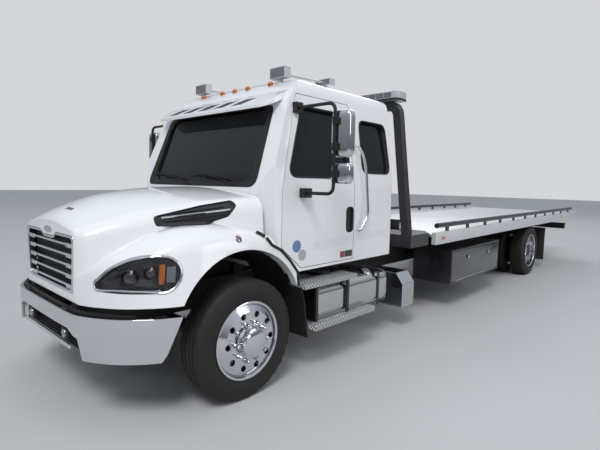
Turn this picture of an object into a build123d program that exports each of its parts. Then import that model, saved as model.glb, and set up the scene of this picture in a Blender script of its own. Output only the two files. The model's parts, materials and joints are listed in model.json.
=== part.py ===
"""Flatbed tow truck: a bonneted two-axle lorry with an extended cab and a sliding, tilting aluminium bed.

Millimetres. +X points forward, +Y to the driver's side and +Z up. The origin is on the ground, midway along
the truck. Every station along the truck is worked out from the front axle.
"""

import math
import os

from build123d import *

os.makedirs("parts", exist_ok=True)

# Overall layout
wheelbase = 6850
front_overhang = 1065
tail_overhang = 3340
overall_length = front_overhang + wheelbase + tail_overhang
front_axle_x = overall_length / 2 - front_overhang
rear_axle_x = front_axle_x - wheelbase
running_gap = 0.3
panel_gap = 6

# Wheels and tyres
tyre_radius = 460
tyre_width = 250
tyre_shoulder = 30
bulge_radius = 385
rim_radius = 298
rim_width = 234
rim_wall = 14
axle_z = tyre_radius
front_wheel_y = 1018
rear_hub_y = 902
disc_offset = 162
disc_thickness = 22
hand_holes = 10
hand_hole_radius = 24
hand_hole_circle = 205
hub_radius = 118
hub_bore_radius = 60
spindle_radius = 45
axle_tube_radius = 62
kingpin_y = 850
kingpin_radius = 26
knuckle_height = 210
axle_boss_radius = 58
axle_boss_height = 120

# Chassis frame
rail_outer_y = 432
rail_height = 240
rail_flange = 72
rail_wall = 9
rail_top_z = 800
rail_front_x = front_axle_x + 880
crossmember_size = 90
upper_member_z = rail_top_z - rail_wall - crossmember_size - running_gap
lower_member_z = rail_top_z - rail_height + rail_wall + running_gap
crossmembers = (
    # axle that the station counts from, station, height of the underside
    (front_axle_x, 700, upper_member_z),
    (front_axle_x, -2000, upper_member_z),
    (front_axle_x, -3400, upper_member_z),
    (rear_axle_x, 2050, upper_member_z),
    (rear_axle_x, 1350, upper_member_z),
    (rear_axle_x, -650, lower_member_z),
)
spring_width = 80
front_spring_y = 395
rear_spring_y = 495
front_spring_length = 1250
rear_spring_length = 1400
engine_size = (880, 600, 740)
engine_front_x = front_axle_x + 620
engine_base_z = 560
gearbox_length = 890
gearbox_base_z = 480

# Cab
cab_front_x = front_axle_x - 270
cab_back_x = front_axle_x - 2100
cab_floor_z = 890
cab_half_width = 1060
cab_belt_z = 1580
cab_eave_half_width = 905
cab_eave_z = 2520
cab_roof_z = 2600
cab_wall = 48
roof_corner_radius = 130
cowl_z = 1570
windscreen_top_x = front_axle_x - 560
windscreen_top_z = 2340
roof_front_x = front_axle_x - 900
cab_nose_half_width = 860
cab_corner_depth = 130
arch_centre_x = front_axle_x + 60
arch_centre_z = 545
arch_radius = 610
glass_thickness = 6
glass_inset = 21
door_front_x = front_axle_x - 405
door_rear_x = front_axle_x - 1392
door_foot_x = front_axle_x - 640
door_sill_z = 915
door_knee_z = 1105
door_top_z = 2400
door_top_front_x = front_axle_x - 650
door_belt_z = 1690
window_frame = 62
door_hinge_z = (1190, 1490)
quarter_front_x = front_axle_x - 1540
quarter_rear_x = front_axle_x - 2010
quarter_bottom_z = 1750
quarter_top_z = 2270
screen_bottom_z = 1640
screen_top_z = 2290
screen_half_width = 775
back_window_half_width = 600
back_window_bottom_z = 1800
back_window_top_z = 2220

# Bonnet with its wings
hood_rear_x = cab_front_x + 12
hood_wall = 34
nose_x = front_axle_x + 985
wing_half_width = 1200
wing_inner_y = 700
wing_base_z = 850
hood_pivot_x = front_axle_x + 960
hood_pivot_z = 790
hood_pin_radius = 10
hood_arm_y = (478, 498)

# Bumper
bumper_top_z = 785
bumper_bottom_z = 490
bumper_kink_y = 715
bumper_end_x = front_axle_x + 640
bumper_end_y = 1200
bumper_wall = 30

# Bed
bed_half_width = 1224.5
bed_rail_bottom_z = 931
bed_rail_top_z = 1078
bed_rail_width = 62
deck_top_z = 1050
deck_thickness = 35
bed_front_x = front_axle_x - 2840
deck_front_x = front_axle_x - 3200
bed_tail_x = -overall_length / 2
bed_bevel_x = bed_tail_x + 820
cross_sill_height = 50
sill_bottom_z = deck_top_z - deck_thickness - cross_sill_height
sill_count = 12
beam_taper_x = bed_tail_x + 1190
bed_beam_y = 445
bed_beam_width = 70
bed_beam_height = 150
handrail_radius = 30
handrail_z = 1158
handrail_front_x = front_axle_x - 2893
post_count = 11
post_first_x = front_axle_x - 3190
post_pitch = 634
post_size = (70, 18)

# Tilting frame
tilt_rail_width = 75
tilt_rail_outer_y = 430
tilt_rail_bottom_z = 806
tilt_rail_top_z = 945
tilt_front_x = front_axle_x - 3350
tilt_rear_x = rear_axle_x - 1230
tilt_pivot_x = rear_axle_x - 1210
tilt_pivot_z = 700
tilt_pin_radius = 30
tilt_ear_y = (250, 335)
pivot_plate_y = (340, 362)
rail_rear_x = tilt_pivot_x + 40

# Wheel lift under the tail
lift_arm_size = 110
lift_arm_top_z = 800
lift_wall = 12
lift_fit = running_gap
lift_socket_x = (tilt_pivot_x - 640, tilt_pivot_x + 760)
lift_arm_front_x = tilt_pivot_x + 560
lift_bar_x = tilt_pivot_x - 1840
lift_bar_size = 130
lift_bar_half_length = 1080
fork_socket_radius = 25
fork_socket_y = 960

# Tilt cylinders
cylinder_y = 290
barrel_radius = 58
barrel_length = 640
barrel_neck = 90
rod_radius = 30
eye_radius = 46
eye_half_width = 28
barrel_pin_x = tilt_pivot_x + 1500
barrel_pin_z = 610
rod_pin_x = tilt_pivot_x + 2300
rod_pin_z = 850
cylinder_pin_radius = 20


def block(x_range, y_range, z_range, mode=Mode.ADD):
    """A box between two stations on each axis."""
    centre = tuple((low + high) / 2 for low, high in (x_range, y_range, z_range))
    size = [abs(high - low) for low, high in (x_range, y_range, z_range)]
    with Locations(centre):
        Box(*size, mode=mode)


def bar(start, end, radius, mode=Mode.ADD):
    """A round bar from one point to another."""
    run = Vector(*end) - Vector(*start)
    with BuildSketch(Plane(origin=start, z_dir=run)) as section:
        Circle(radius)
    extrude(section.sketch, amount=run.length, mode=mode)


def side_panel(points, y_range, mode=Mode.ADD, shrink=0):
    """A panel with its outline given in X and Z, between two stations across the truck."""
    with BuildSketch(Plane.XZ.offset(-y_range[1])) as outline:
        with BuildLine():
            Polyline(*points, close=True)
        make_face()
        if shrink:
            offset(amount=-shrink, kind=Kind.INTERSECTION)
    extrude(outline.sketch, amount=y_range[1] - y_range[0], mode=mode)


def mirrored(part):
    """The same piece on the other side of the truck."""
    with BuildPart() as twin:
        add(part)
        mirror(about=Plane.XZ, mode=Mode.REPLACE)
    return twin


pieces = {}

# Chassis frame: two channel rails and their cross members
with BuildPart() as chassis_frame:
    block((rail_rear_x, rail_front_x), (rail_outer_y - rail_flange, rail_outer_y),
          (rail_top_z - rail_height, rail_top_z))
    block((rail_rear_x, rail_front_x), (rail_outer_y - rail_flange, rail_outer_y - rail_wall),
          (rail_top_z - rail_height + rail_wall, rail_top_z - rail_wall), mode=Mode.SUBTRACT)
    mirror(about=Plane.XZ)
    member_half_length = rail_outer_y - rail_wall - running_gap
    for axle_x, station, base_z in crossmembers:
        block((axle_x + station - crossmember_size / 2, axle_x + station + crossmember_size / 2),
              (-member_half_length, member_half_length), (base_z, base_z + crossmember_size))
    for side in (1, -1):
        # Plates at the tail that carry the tilting frame's pins
        block((tilt_pivot_x - 70, rail_rear_x + 160), (side * pivot_plate_y[0], side * pivot_plate_y[1]),
              (tilt_pivot_z - 75, tilt_pivot_z + 75))
        block((rail_rear_x, rail_rear_x + 160), (side * pivot_plate_y[0], side * (rail_outer_y - rail_wall)),
              (tilt_pivot_z - 60, tilt_pivot_z + 60))
        # Brackets for the tilt cylinders
        block((barrel_pin_x - 55, barrel_pin_x + 55), (side * (cylinder_y + eye_half_width + 4), side * (rail_outer_y - 5)),
              (barrel_pin_z - 40, barrel_pin_z + 55))
        # Bumper brackets with the pins that the bonnet tips on
        block((rail_front_x - 100, front_axle_x + front_overhang - bumper_wall - running_gap),
              (side * (rail_outer_y - rail_flange), side * rail_outer_y), (700, 760))
        block((hood_pivot_x - 20, hood_pivot_x + 20), (side * (rail_outer_y - 30), side * (hood_arm_y[0] - 5)),
              (720, hood_pivot_z + 18))
        bar((hood_pivot_x, side * (hood_arm_y[0] - 30), hood_pivot_z), (hood_pivot_x, side * (hood_arm_y[1] + 6), hood_pivot_z),
            hood_pin_radius)
        # Cab mounts
        for mount_x in (cab_front_x - 200, cab_back_x + 150):
            block((mount_x - 50, mount_x + 50), (side * (rail_outer_y - rail_flange), side * rail_outer_y),
                  (rail_top_z, cab_floor_z - running_gap))
        # Spring hangers
        for centre_x, length, hanger_y, low_z, high_z in (
            (front_axle_x, front_spring_length, (rail_outer_y - rail_flange, rail_outer_y), 490, 569),
            (rear_axle_x, rear_spring_length, (rail_outer_y - rail_wall, rear_spring_y + spring_width / 2), 560, 680),
        ):
            for end in (1, -1):
                hanger_x = centre_x + end * (length / 2 + running_gap)
                block((hanger_x, hanger_x + end * 50), (side * hanger_y[0], side * hanger_y[1]), (low_z, high_z))
    bar((tilt_pivot_x, -pivot_plate_y[1] - 5, tilt_pivot_z), (tilt_pivot_x, pivot_plate_y[1] + 5, tilt_pivot_z),
        tilt_pin_radius + running_gap, mode=Mode.SUBTRACT)
pieces["chassis_frame"] = chassis_frame

# Front axle beam, dropped between its ends, with the bosses for the kingpins
beam_height = 95
beam_width = 88
beam_drop = 90
with BuildPart() as front_axle:
    with BuildSketch(Plane.YZ.offset(front_axle_x - beam_width / 2)):
        with BuildLine():
            Polyline((-kingpin_y, axle_z - beam_height / 2), (-kingpin_y, axle_z + beam_height / 2),
                     (-700, axle_z + beam_height / 2), (-560, axle_z - beam_drop + beam_height / 2),
                     (560, axle_z - beam_drop + beam_height / 2), (700, axle_z + beam_height / 2),
                     (kingpin_y, axle_z + beam_height / 2), (kingpin_y, axle_z - beam_height / 2),
                     (700, axle_z - beam_height / 2), (560, axle_z - beam_drop - beam_height / 2),
                     (-560, axle_z - beam_drop - beam_height / 2), (-700, axle_z - beam_height / 2), close=True)
        make_face()
    extrude(amount=beam_width)
    with Locations((front_axle_x, kingpin_y, axle_z), (front_axle_x, -kingpin_y, axle_z)):
        Cylinder(axle_boss_radius, axle_boss_height)
        Cylinder(kingpin_radius + running_gap, axle_boss_height * 2, mode=Mode.SUBTRACT)
pieces["front_axle"] = front_axle

# Rear axle: banjo casing, tubes and the spindles that carry the twin wheels
with BuildPart() as rear_axle:
    with Locations(Location((rear_axle_x, 0, axle_z), (90, 0, 0))):
        Cylinder(axle_tube_radius, 2 * 640)
        Cylinder(spindle_radius, 2 * (rear_hub_y + 60))
    with Locations((rear_axle_x, 0, axle_z)):
        Sphere(190)
    block((rear_axle_x + 120, rear_axle_x + 300), (-85, 85), (axle_z - 85, axle_z + 85))
pieces["rear_axle"] = rear_axle

# Leaf springs: two packs a side, bowed down to the axle
with BuildPart() as leaf_springs:
    for centre_x, centre_y, length, seat_z, eye_z, thickness in (
        (front_axle_x, front_spring_y, front_spring_length, axle_z - beam_drop + beam_height / 2 + running_gap, 540, 45),
        (rear_axle_x, rear_spring_y, rear_spring_length, axle_z + axle_tube_radius + running_gap, 640, 70),
    ):
        with BuildSketch(Plane.XZ.offset(-centre_y - spring_width / 2)):
            with BuildLine():
                ThreePointArc((centre_x - length / 2, eye_z - thickness), (centre_x, seat_z),
                              (centre_x + length / 2, eye_z - thickness))
                Line((centre_x + length / 2, eye_z - thickness), (centre_x + length / 2, eye_z))
                ThreePointArc((centre_x + length / 2, eye_z), (centre_x, seat_z + thickness),
                              (centre_x - length / 2, eye_z))
                Line((centre_x - length / 2, eye_z), (centre_x - length / 2, eye_z - thickness))
            make_face()
        extrude(amount=spring_width)
    mirror(about=Plane.XZ)
pieces["leaf_springs"] = leaf_springs

# Engine and gearbox, one plain mass on its feet, with the propeller shaft behind it
engine_rear_x = engine_front_x - engine_size[0]
gearbox_rear_x = engine_rear_x - gearbox_length
with BuildPart() as engine:
    block((engine_rear_x, engine_front_x), (-engine_size[1] / 2, engine_size[1] / 2),
          (engine_base_z, engine_base_z + engine_size[2]))
    block((gearbox_rear_x, engine_rear_x), (-200, 200), (gearbox_base_z, gearbox_base_z + 300))
    foot_y = rail_outer_y - rail_flange - running_gap
    block((engine_front_x - 300, engine_front_x - 200), (-foot_y, foot_y), (620, 680))
pieces["engine"] = engine

shaft_start = (gearbox_rear_x - 15, 0, gearbox_base_z + 140)
shaft_end = (rear_axle_x + 315, 0, axle_z)
with BuildPart() as propeller_shaft:
    bar(shaft_start, shaft_end, 50)
    for end_x, end_z, reach in ((shaft_start[0], shaft_start[2], 15 - running_gap), (shaft_end[0], shaft_end[2], -15 + running_gap)):
        bar((end_x - reach, 0, end_z), (end_x + reach, 0, end_z), 58)
pieces["propeller_shaft"] = propeller_shaft

with BuildPart() as radiator:
    block((front_axle_x + 640, front_axle_x + 740), (-400, 400), (rail_top_z + running_gap, 1240))
pieces["radiator"] = radiator


# Wheels
def tyre_section(centre_y):
    """Half of a tyre's section, to be turned about the axle."""
    half = tyre_width / 2
    bead = rim_width / 2 - 12
    profile = [(rim_radius, bead), (bulge_radius, half), (tyre_radius - tyre_shoulder, half - 10),
               (tyre_radius, half - tyre_shoulder)]
    outline = [(radius, centre_y + y) for radius, y in profile] + [(radius, centre_y - y) for radius, y in reversed(profile)]
    with BuildLine() as section:
        Polyline(*outline, close=True)
    make_face(section.edges())


def tyres(axle_x, centres_y):
    """The tyres of one wheel end."""
    with BuildPart() as rubber:
        with BuildSketch(Plane.XY):
            for centre_y in centres_y:
                tyre_section(centre_y)
        revolve(axis=Axis.Y)
        add(rubber.part.moved(Location((axle_x, 0, axle_z))), mode=Mode.REPLACE)
    return rubber


def rim_section(centre_y, disc_y):
    """Half of a rim's section with its disc, to be turned about the axle."""
    half = rim_width / 2
    barrel = rim_radius - running_gap
    with BuildLine() as barrel_line:
        Polyline((barrel, centre_y - half), (barrel, centre_y + half), (barrel - rim_wall, centre_y + half),
                 (barrel - rim_wall, centre_y - half), close=True)
    make_face(barrel_line.edges())
    dish_start = centre_y + (half - 50) * (1 if disc_y > centre_y else -1)
    with BuildLine() as disc_line:
        Polyline((barrel - 4, dish_start), (barrel - 4, dish_start + disc_thickness),
                 (hand_hole_circle + 20, disc_y), (hub_bore_radius, disc_y),
                 (hub_bore_radius, disc_y - disc_thickness), (hand_hole_circle + 16, disc_y - disc_thickness),
                 close=True)
    make_face(disc_line.edges())


def cut_hand_holes(centre_y):
    """The ring of round openings through a disc."""
    with Locations(Plane(origin=(0, centre_y, 0), x_dir=(1, 0, 0), z_dir=(0, 1, 0))):
        with PolarLocations(hand_hole_circle, hand_holes):
            Cylinder(hand_hole_radius, 2 * disc_thickness + 60, mode=Mode.SUBTRACT)


front_disc_y = front_wheel_y + disc_offset - 30
with BuildPart() as front_rim:
    with BuildSketch(Plane.XY):
        rim_section(front_wheel_y, front_disc_y)
    revolve(axis=Axis.Y)
    cut_hand_holes(front_disc_y)
    with BuildSketch(Plane.XY):
        with BuildLine():
            Polyline((spindle_radius + running_gap, front_wheel_y - 20), (hub_radius - 10, front_wheel_y - 20),
                     (hub_radius, front_disc_y - 10), (hub_radius - 20, front_disc_y + 45), (0, front_disc_y + 62),
                     (0, front_disc_y - 8), (spindle_radius + running_gap, front_disc_y - 8), close=True)
        make_face()
    revolve(axis=Axis.Y)
    add(front_rim.part.moved(Location((front_axle_x, 0, axle_z))), mode=Mode.REPLACE)

rear_outer_y = rear_hub_y + disc_offset
rear_inner_y = rear_hub_y - disc_offset - disc_thickness - 1
with BuildPart() as rear_rims:
    with BuildSketch(Plane.XY):
        rim_section(rear_outer_y, rear_hub_y + disc_thickness)
        rim_section(rear_inner_y, rear_hub_y)
    revolve(axis=Axis.Y)
    cut_hand_holes(rear_hub_y)
    with BuildSketch(Plane.XY):
        with BuildLine():
            Polyline((spindle_radius + running_gap, rear_hub_y - 150), (hub_radius, rear_hub_y - 150),
                     (hub_radius, rear_hub_y + 150), (hub_radius - 30, rear_hub_y + 190), (0, rear_hub_y + 190),
                     (0, rear_hub_y + 62), (spindle_radius + running_gap, rear_hub_y + 62), close=True)
        make_face()
    revolve(axis=Axis.Y)
    add(rear_rims.part.moved(Location((rear_axle_x, 0, axle_z))), mode=Mode.REPLACE)

front_tyre = tyres(front_axle_x, (front_wheel_y,))
rear_tyre_pair = tyres(rear_axle_x, (rear_outer_y, rear_inner_y))
for name, piece in (
    ("front_tyre", front_tyre),
    ("front_rim", front_rim),
    ("rear_tyres", rear_tyre_pair),
    ("rear_rims", rear_rims),
):
    pieces[name + "_left"] = piece
    pieces[name + "_right"] = mirrored(piece.part)

# Steering knuckle: ears above and below the axle boss, kingpin, spindle and brake back plate
ear_thickness = (knuckle_height - axle_boss_height) / 2 - running_gap
with BuildPart() as knuckle:
    with Locations((front_axle_x, kingpin_y, axle_z)):
        Cylinder(kingpin_radius, knuckle_height)
        with Locations((0, 0, knuckle_height / 2 - ear_thickness / 2), (0, 0, -knuckle_height / 2 + ear_thickness / 2)):
            Cylinder(axle_boss_radius, ear_thickness)
            with Locations((0, (axle_boss_radius + 20) / 2, 0)):
                Box(70, axle_boss_radius + 20, ear_thickness)
    block((front_axle_x - 45, front_axle_x + 45), (kingpin_y + axle_boss_radius + 8, kingpin_y + axle_boss_radius + 40),
          (axle_z - knuckle_height / 2, axle_z + knuckle_height / 2))
    bar((front_axle_x, kingpin_y + axle_boss_radius + 20, axle_z), (front_axle_x, front_disc_y - 20, axle_z),
        spindle_radius)
    bar((front_axle_x, kingpin_y + axle_boss_radius + 28, axle_z),
        (front_axle_x, kingpin_y + axle_boss_radius + 40, axle_z), 190)
pieces["knuckle_left"] = knuckle
pieces["knuckle_right"] = mirrored(knuckle.part)


# Cab
def cab_form(inset):
    """The whole cab as one closed body, drawn in by a thickness."""
    with BuildPart() as form:
        with BuildSketch(Plane.YZ.offset(cab_back_x + inset)):
            with BuildLine():
                Polyline((-cab_eave_half_width, cab_eave_z), (-cab_half_width, cab_belt_z),
                         (-cab_half_width, cab_floor_z), (cab_half_width, cab_floor_z),
                         (cab_half_width, cab_belt_z), (cab_eave_half_width, cab_eave_z))
                ThreePointArc((cab_eave_half_width, cab_eave_z), (0, cab_roof_z), (-cab_eave_half_width, cab_eave_z))
            make_face()
            if inset:
                offset(amount=-inset, kind=Kind.INTERSECTION)
        extrude(amount=cab_front_x - cab_back_x - 2 * inset)
        with BuildSketch(Plane.XZ):
            with BuildLine():
                Polyline((cab_front_x, cowl_z), (windscreen_top_x, windscreen_top_z),
                         (roof_front_x, cab_roof_z + 1), (cab_back_x, cab_roof_z + 1), (cab_back_x, cab_floor_z),
                         (cab_front_x, cab_floor_z), close=True)
            make_face()
            if inset:
                offset(amount=-inset, kind=Kind.INTERSECTION)
            with BuildLine():
                CenterArc((arch_centre_x, arch_centre_z), arch_radius + inset, 0, 360)
            make_face(mode=Mode.SUBTRACT)
        extrude(amount=cab_half_width, both=True, mode=Mode.INTERSECT)
        with BuildSketch(Plane.XY.offset(cab_floor_z)):
            with BuildLine():
                Polyline((cab_front_x, -cab_nose_half_width), (cab_front_x, cab_nose_half_width),
                         (cab_front_x - cab_corner_depth, cab_half_width), (cab_back_x, cab_half_width),
                         (cab_back_x, -cab_half_width), (cab_front_x - cab_corner_depth, -cab_half_width), close=True)
            make_face()
            if inset:
                offset(amount=-inset, kind=Kind.INTERSECTION)
        extrude(amount=cab_roof_z - cab_floor_z + 10, mode=Mode.INTERSECT)
    return form.part


cab_outer = cab_form(0)
cab_inner = cab_form(cab_wall)
glass_outer = cab_form(glass_inset)
glass_inner = cab_form(glass_inset + glass_thickness)

door_outline = [
    (door_front_x, door_knee_z), (door_front_x, cab_belt_z), (door_top_front_x, door_top_z),
    (door_rear_x, door_top_z), (door_rear_x, door_sill_z), (door_foot_x, door_sill_z),
]
door_window = [
    (door_front_x - window_frame - 20, door_belt_z), (door_top_front_x - window_frame, door_top_z - window_frame * 1.6),
    (door_rear_x + window_frame, door_top_z - window_frame * 1.6), (door_rear_x + window_frame, door_belt_z),
]
quarter_window = [
    (quarter_front_x, quarter_bottom_z), (quarter_front_x, quarter_top_z),
    (quarter_rear_x, quarter_top_z), (quarter_rear_x - 40, quarter_bottom_z),
]
screen_outline = [
    (-screen_half_width, screen_bottom_z), (screen_half_width, screen_bottom_z),
    (screen_half_width - 15, screen_top_z), (-screen_half_width + 15, screen_top_z),
]
back_window = [
    (-back_window_half_width, back_window_bottom_z), (back_window_half_width, back_window_bottom_z),
    (back_window_half_width, back_window_top_z), (-back_window_half_width, back_window_top_z),
]


def front_panel(points, x_range, mode, shrink=0):
    """A panel with its outline given in Y and Z, between two stations along the truck."""
    with BuildSketch(Plane.YZ.offset(x_range[0])) as outline:
        with BuildLine():
            Polyline(*points, close=True)
        make_face()
        if shrink:
            offset(amount=-shrink, kind=Kind.INTERSECTION)
    extrude(outline.sketch, amount=x_range[1] - x_range[0], mode=mode)


def door_space(shrink=0):
    """The space that a door fills in the side wall, clear of the cab's floor."""
    with BuildPart() as space:
        side_panel(door_outline, (500, cab_half_width + 50), shrink=shrink)
        block((cab_back_x, cab_front_x), (400, cab_half_width - cab_wall), (0, cab_floor_z + cab_wall), mode=Mode.SUBTRACT)
    return space.part


cab_middle_x = (cab_front_x + cab_back_x) / 2
with BuildPart() as cab_shell:
    add(cab_outer)
    add(cab_inner, mode=Mode.SUBTRACT)
    add(door_space(), mode=Mode.SUBTRACT)
    add(mirrored(door_space()).part, mode=Mode.SUBTRACT)
    for side_range in ((500, cab_half_width + 50), (-cab_half_width - 50, -500)):
        side_panel(quarter_window, side_range, mode=Mode.SUBTRACT)
    front_panel(screen_outline, (cab_middle_x, cab_front_x + 50), Mode.SUBTRACT)
    front_panel(back_window, (cab_back_x - 50, cab_back_x + cab_wall + 50), Mode.SUBTRACT)
pieces["cab_shell"] = cab_shell

with BuildPart() as cab_glass:
    add(glass_outer)
    add(glass_inner, mode=Mode.SUBTRACT)
    with BuildSketch(Plane.YZ.offset(cab_middle_x)) as screen_window:
        with BuildLine():
            Polyline(*screen_outline, close=True)
        make_face()
        offset(amount=-running_gap, kind=Kind.INTERSECTION)
    extrude(amount=cab_front_x - cab_middle_x + 50, mode=Mode.INTERSECT)
with BuildPart() as back_glass:
    block((cab_back_x + glass_inset, cab_back_x + glass_inset + glass_thickness),
          (-back_window_half_width + running_gap, back_window_half_width - running_gap),
          (back_window_bottom_z + running_gap, back_window_top_z - running_gap))
with BuildPart() as quarter_glass:
    add(glass_outer)
    add(glass_inner, mode=Mode.SUBTRACT)
    side_panel(quarter_window, (500, cab_half_width), mode=Mode.INTERSECT, shrink=running_gap)
    mirror(about=Plane.XZ)
with BuildPart() as cab_windows:
    add(cab_glass.part)
    add(back_glass.part)
    add(quarter_glass.part)
pieces["cab_glass"] = cab_windows

with BuildPart() as door:
    add(cab_outer)
    add(cab_inner, mode=Mode.SUBTRACT)
    add(door_space(panel_gap), mode=Mode.INTERSECT)
    side_panel(door_window, (500, cab_half_width + 50), mode=Mode.SUBTRACT)
    for hinge_z in door_hinge_z:
        with Locations((door_front_x - panel_gap, cab_half_width, hinge_z)):
            Cylinder(panel_gap - running_gap, 90)
with BuildPart() as door_glass:
    add(glass_outer)
    add(glass_inner, mode=Mode.SUBTRACT)
    side_panel(door_window, (500, cab_half_width + 50), mode=Mode.INTERSECT, shrink=running_gap)

# Door mirror: a looped arm with a tall head and a small round-cornered one under it
mirror_root_x = front_axle_x - 650
mirror_arm_y = 1400
mirror_arm_top_z = 2270
mirror_arm_bottom_z = 1560
mirror_tube = 14
mirror_head_width = 195
mirror_upper = (1850, 2215)
mirror_lower = (1640, 1800)
cab_lean = (cab_half_width - cab_eave_half_width) / (cab_eave_z - cab_belt_z)
root_top_y = cab_half_width - (mirror_arm_top_z - cab_belt_z) * cab_lean + running_gap + mirror_tube * cab_lean
root_bottom_y = cab_half_width + running_gap
with BuildPart() as mirror_piece:
    bar((mirror_root_x, root_top_y, mirror_arm_top_z), (mirror_root_x, mirror_arm_y, mirror_arm_top_z), mirror_tube)
    bar((mirror_root_x, root_bottom_y, mirror_arm_bottom_z), (mirror_root_x, mirror_arm_y, mirror_arm_bottom_z),
        mirror_tube)
    bar((mirror_root_x, mirror_arm_y, mirror_arm_bottom_z), (mirror_root_x, mirror_arm_y, mirror_arm_top_z),
        mirror_tube)
    with Locations((mirror_root_x, mirror_arm_y, mirror_arm_top_z), (mirror_root_x, mirror_arm_y, mirror_arm_bottom_z)):
        Sphere(mirror_tube)
    for low, high in (mirror_upper, mirror_lower):
        block((mirror_root_x - 75, mirror_root_x + 5),
              (mirror_arm_y - 50, mirror_arm_y - 50 + mirror_head_width), (low, high))
for side, twin in (("left", False), ("right", True)):
    for name, piece in (("door", door), ("door_glass", door_glass), ("mirror", mirror_piece)):
        pieces[f"{name}_{side}"] = mirrored(piece.part) if twin else piece

# Sun visor over the windscreen
screen_slope = (cab_front_x - windscreen_top_x) / (windscreen_top_z - cowl_z)
visor_root_x = windscreen_top_x + 20 * screen_slope + 1.2 * running_gap
with BuildPart() as sun_visor:
    with BuildSketch(Plane.XZ.offset(-860)):
        with BuildLine():
            Polyline((windscreen_top_x + 10, windscreen_top_z + 8), (windscreen_top_x + 190, windscreen_top_z - 60),
                     (windscreen_top_x + 185, windscreen_top_z - 85), (visor_root_x, windscreen_top_z - 20),
                     close=True)
        make_face()
    extrude(amount=1720)
pieces["sun_visor"] = sun_visor

# Dashboard with the steering wheel on its column
steering_wheel_radius = 215
with BuildPart() as dashboard:
    block((cab_front_x - 400, cab_front_x - cab_wall - running_gap), (-780, 780), (1200, 1540))
    bar((cab_front_x - 380, 480, 1440), (cab_front_x - 520, 480, 1580), 30)
    wheel_plane = Plane(Location((cab_front_x - 520, 480, 1580), (0, -50, 0)))
    with BuildSketch(Plane(origin=wheel_plane.origin, x_dir=wheel_plane.x_dir, z_dir=-wheel_plane.y_dir)) as ring:
        with Locations((steering_wheel_radius, 0)):
            RegularPolygon(14, 6)
    revolve(ring.sketch, axis=Axis(wheel_plane.origin, wheel_plane.z_dir))
    with Locations(wheel_plane.location):
        Box(2 * steering_wheel_radius, 40, 16)
pieces["dashboard"] = dashboard

# Seats: cushion, back and pedestal, one each side, and the sleeper bench behind
with BuildPart() as seats:
    for centre_y in (480, -480):
        block((cab_front_x - 1180, cab_front_x - 660), (centre_y - 250, centre_y + 250), (1200, 1350))
        block((cab_front_x - 1090, cab_front_x - 760), (centre_y - 150, centre_y + 150),
              (cab_floor_z + cab_wall + running_gap, 1200))
        block((cab_front_x - 1230, cab_front_x - 1090), (centre_y - 240, centre_y + 240), (1200, 2080))
pieces["seats"] = seats


# Bonnet and wings
hood_sections = (
    # station x, base half width, shoulder half width, shoulder z, crown z
    (hood_rear_x, 960, 890, 1470, 1600),
    (front_axle_x + 420, 800, 700, 1370, 1500),
    (nose_x - 10, 530, 495, 1230, 1335),
)


def hood_core(inset, base_z):
    """The middle of the bonnet, drawn in by a thickness and open below."""
    with BuildPart() as core:
        for station, base, shoulder, shoulder_z, crown_z in hood_sections:
            with BuildSketch(Plane.YZ.offset(station)):
                with BuildLine():
                    Polyline((-shoulder + inset, shoulder_z - inset), (-base + inset, base_z), (base - inset, base_z),
                             (shoulder - inset, shoulder_z - inset))
                    ThreePointArc((shoulder - inset, shoulder_z - inset), (0, crown_z - inset),
                                  (-shoulder + inset, shoulder_z - inset))
                make_face()
        loft()
    return core.part


def wing_form(inset):
    """One wing, swept back at its front corner."""
    with BuildPart() as form:
        with BuildSketch(Plane.XY.offset(wing_base_z - (100 if inset else 0))):
            with BuildLine():
                Polyline((nose_x - 60, 400), (nose_x - 60, 560), (front_axle_x + 850, 860))
                ThreePointArc((front_axle_x + 850, 860), (front_axle_x + 730, 1080), (front_axle_x + 520, wing_half_width))
                Polyline((front_axle_x + 520, wing_half_width), (hood_rear_x, wing_half_width - 40),
                         (hood_rear_x, 400), (nose_x - 60, 400))
            make_face()
            if inset:
                offset(amount=-inset, kind=Kind.INTERSECTION)
        extrude(amount=600)
        side_panel([(hood_rear_x, wing_base_z - 200), (hood_rear_x, 1290 - inset), (front_axle_x + 300, 1265 - inset),
                    (front_axle_x + 800, 1120 - inset), (nose_x - 40, 1050 - inset), (nose_x - 40, wing_base_z - 200)],
                   (0, wing_half_width + 20), mode=Mode.INTERSECT)
    return form.part


core_outer = hood_core(0, wing_base_z)
core_inner = hood_core(hood_wall, wing_base_z - 60)
wing_outer = wing_form(0)
wing_inner = wing_form(hood_wall)

grille_half_width = 474
grille_bottom_z = 872
grille_top_z = 1257
with BuildPart() as hood:
    add(core_outer)
    add(wing_outer)
    add(mirrored(wing_outer).part)
    add(core_inner, mode=Mode.SUBTRACT)
    add(wing_inner, mode=Mode.SUBTRACT)
    add(mirrored(wing_inner).part, mode=Mode.SUBTRACT)
    block((hood_rear_x - 20, hood_rear_x + 200), (-860, 860), (wing_base_z - 200, 1430), mode=Mode.SUBTRACT)
    block((nose_x - 200, nose_x + 50), (-grille_half_width, grille_half_width), (grille_bottom_z, grille_top_z - 40),
          mode=Mode.SUBTRACT)
    with Locations(Location((arch_centre_x, 0, arch_centre_z), (90, 0, 0))):
        Cylinder(arch_radius, 2 * wing_half_width + 100, mode=Mode.SUBTRACT)
pieces["hood"] = hood

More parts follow.
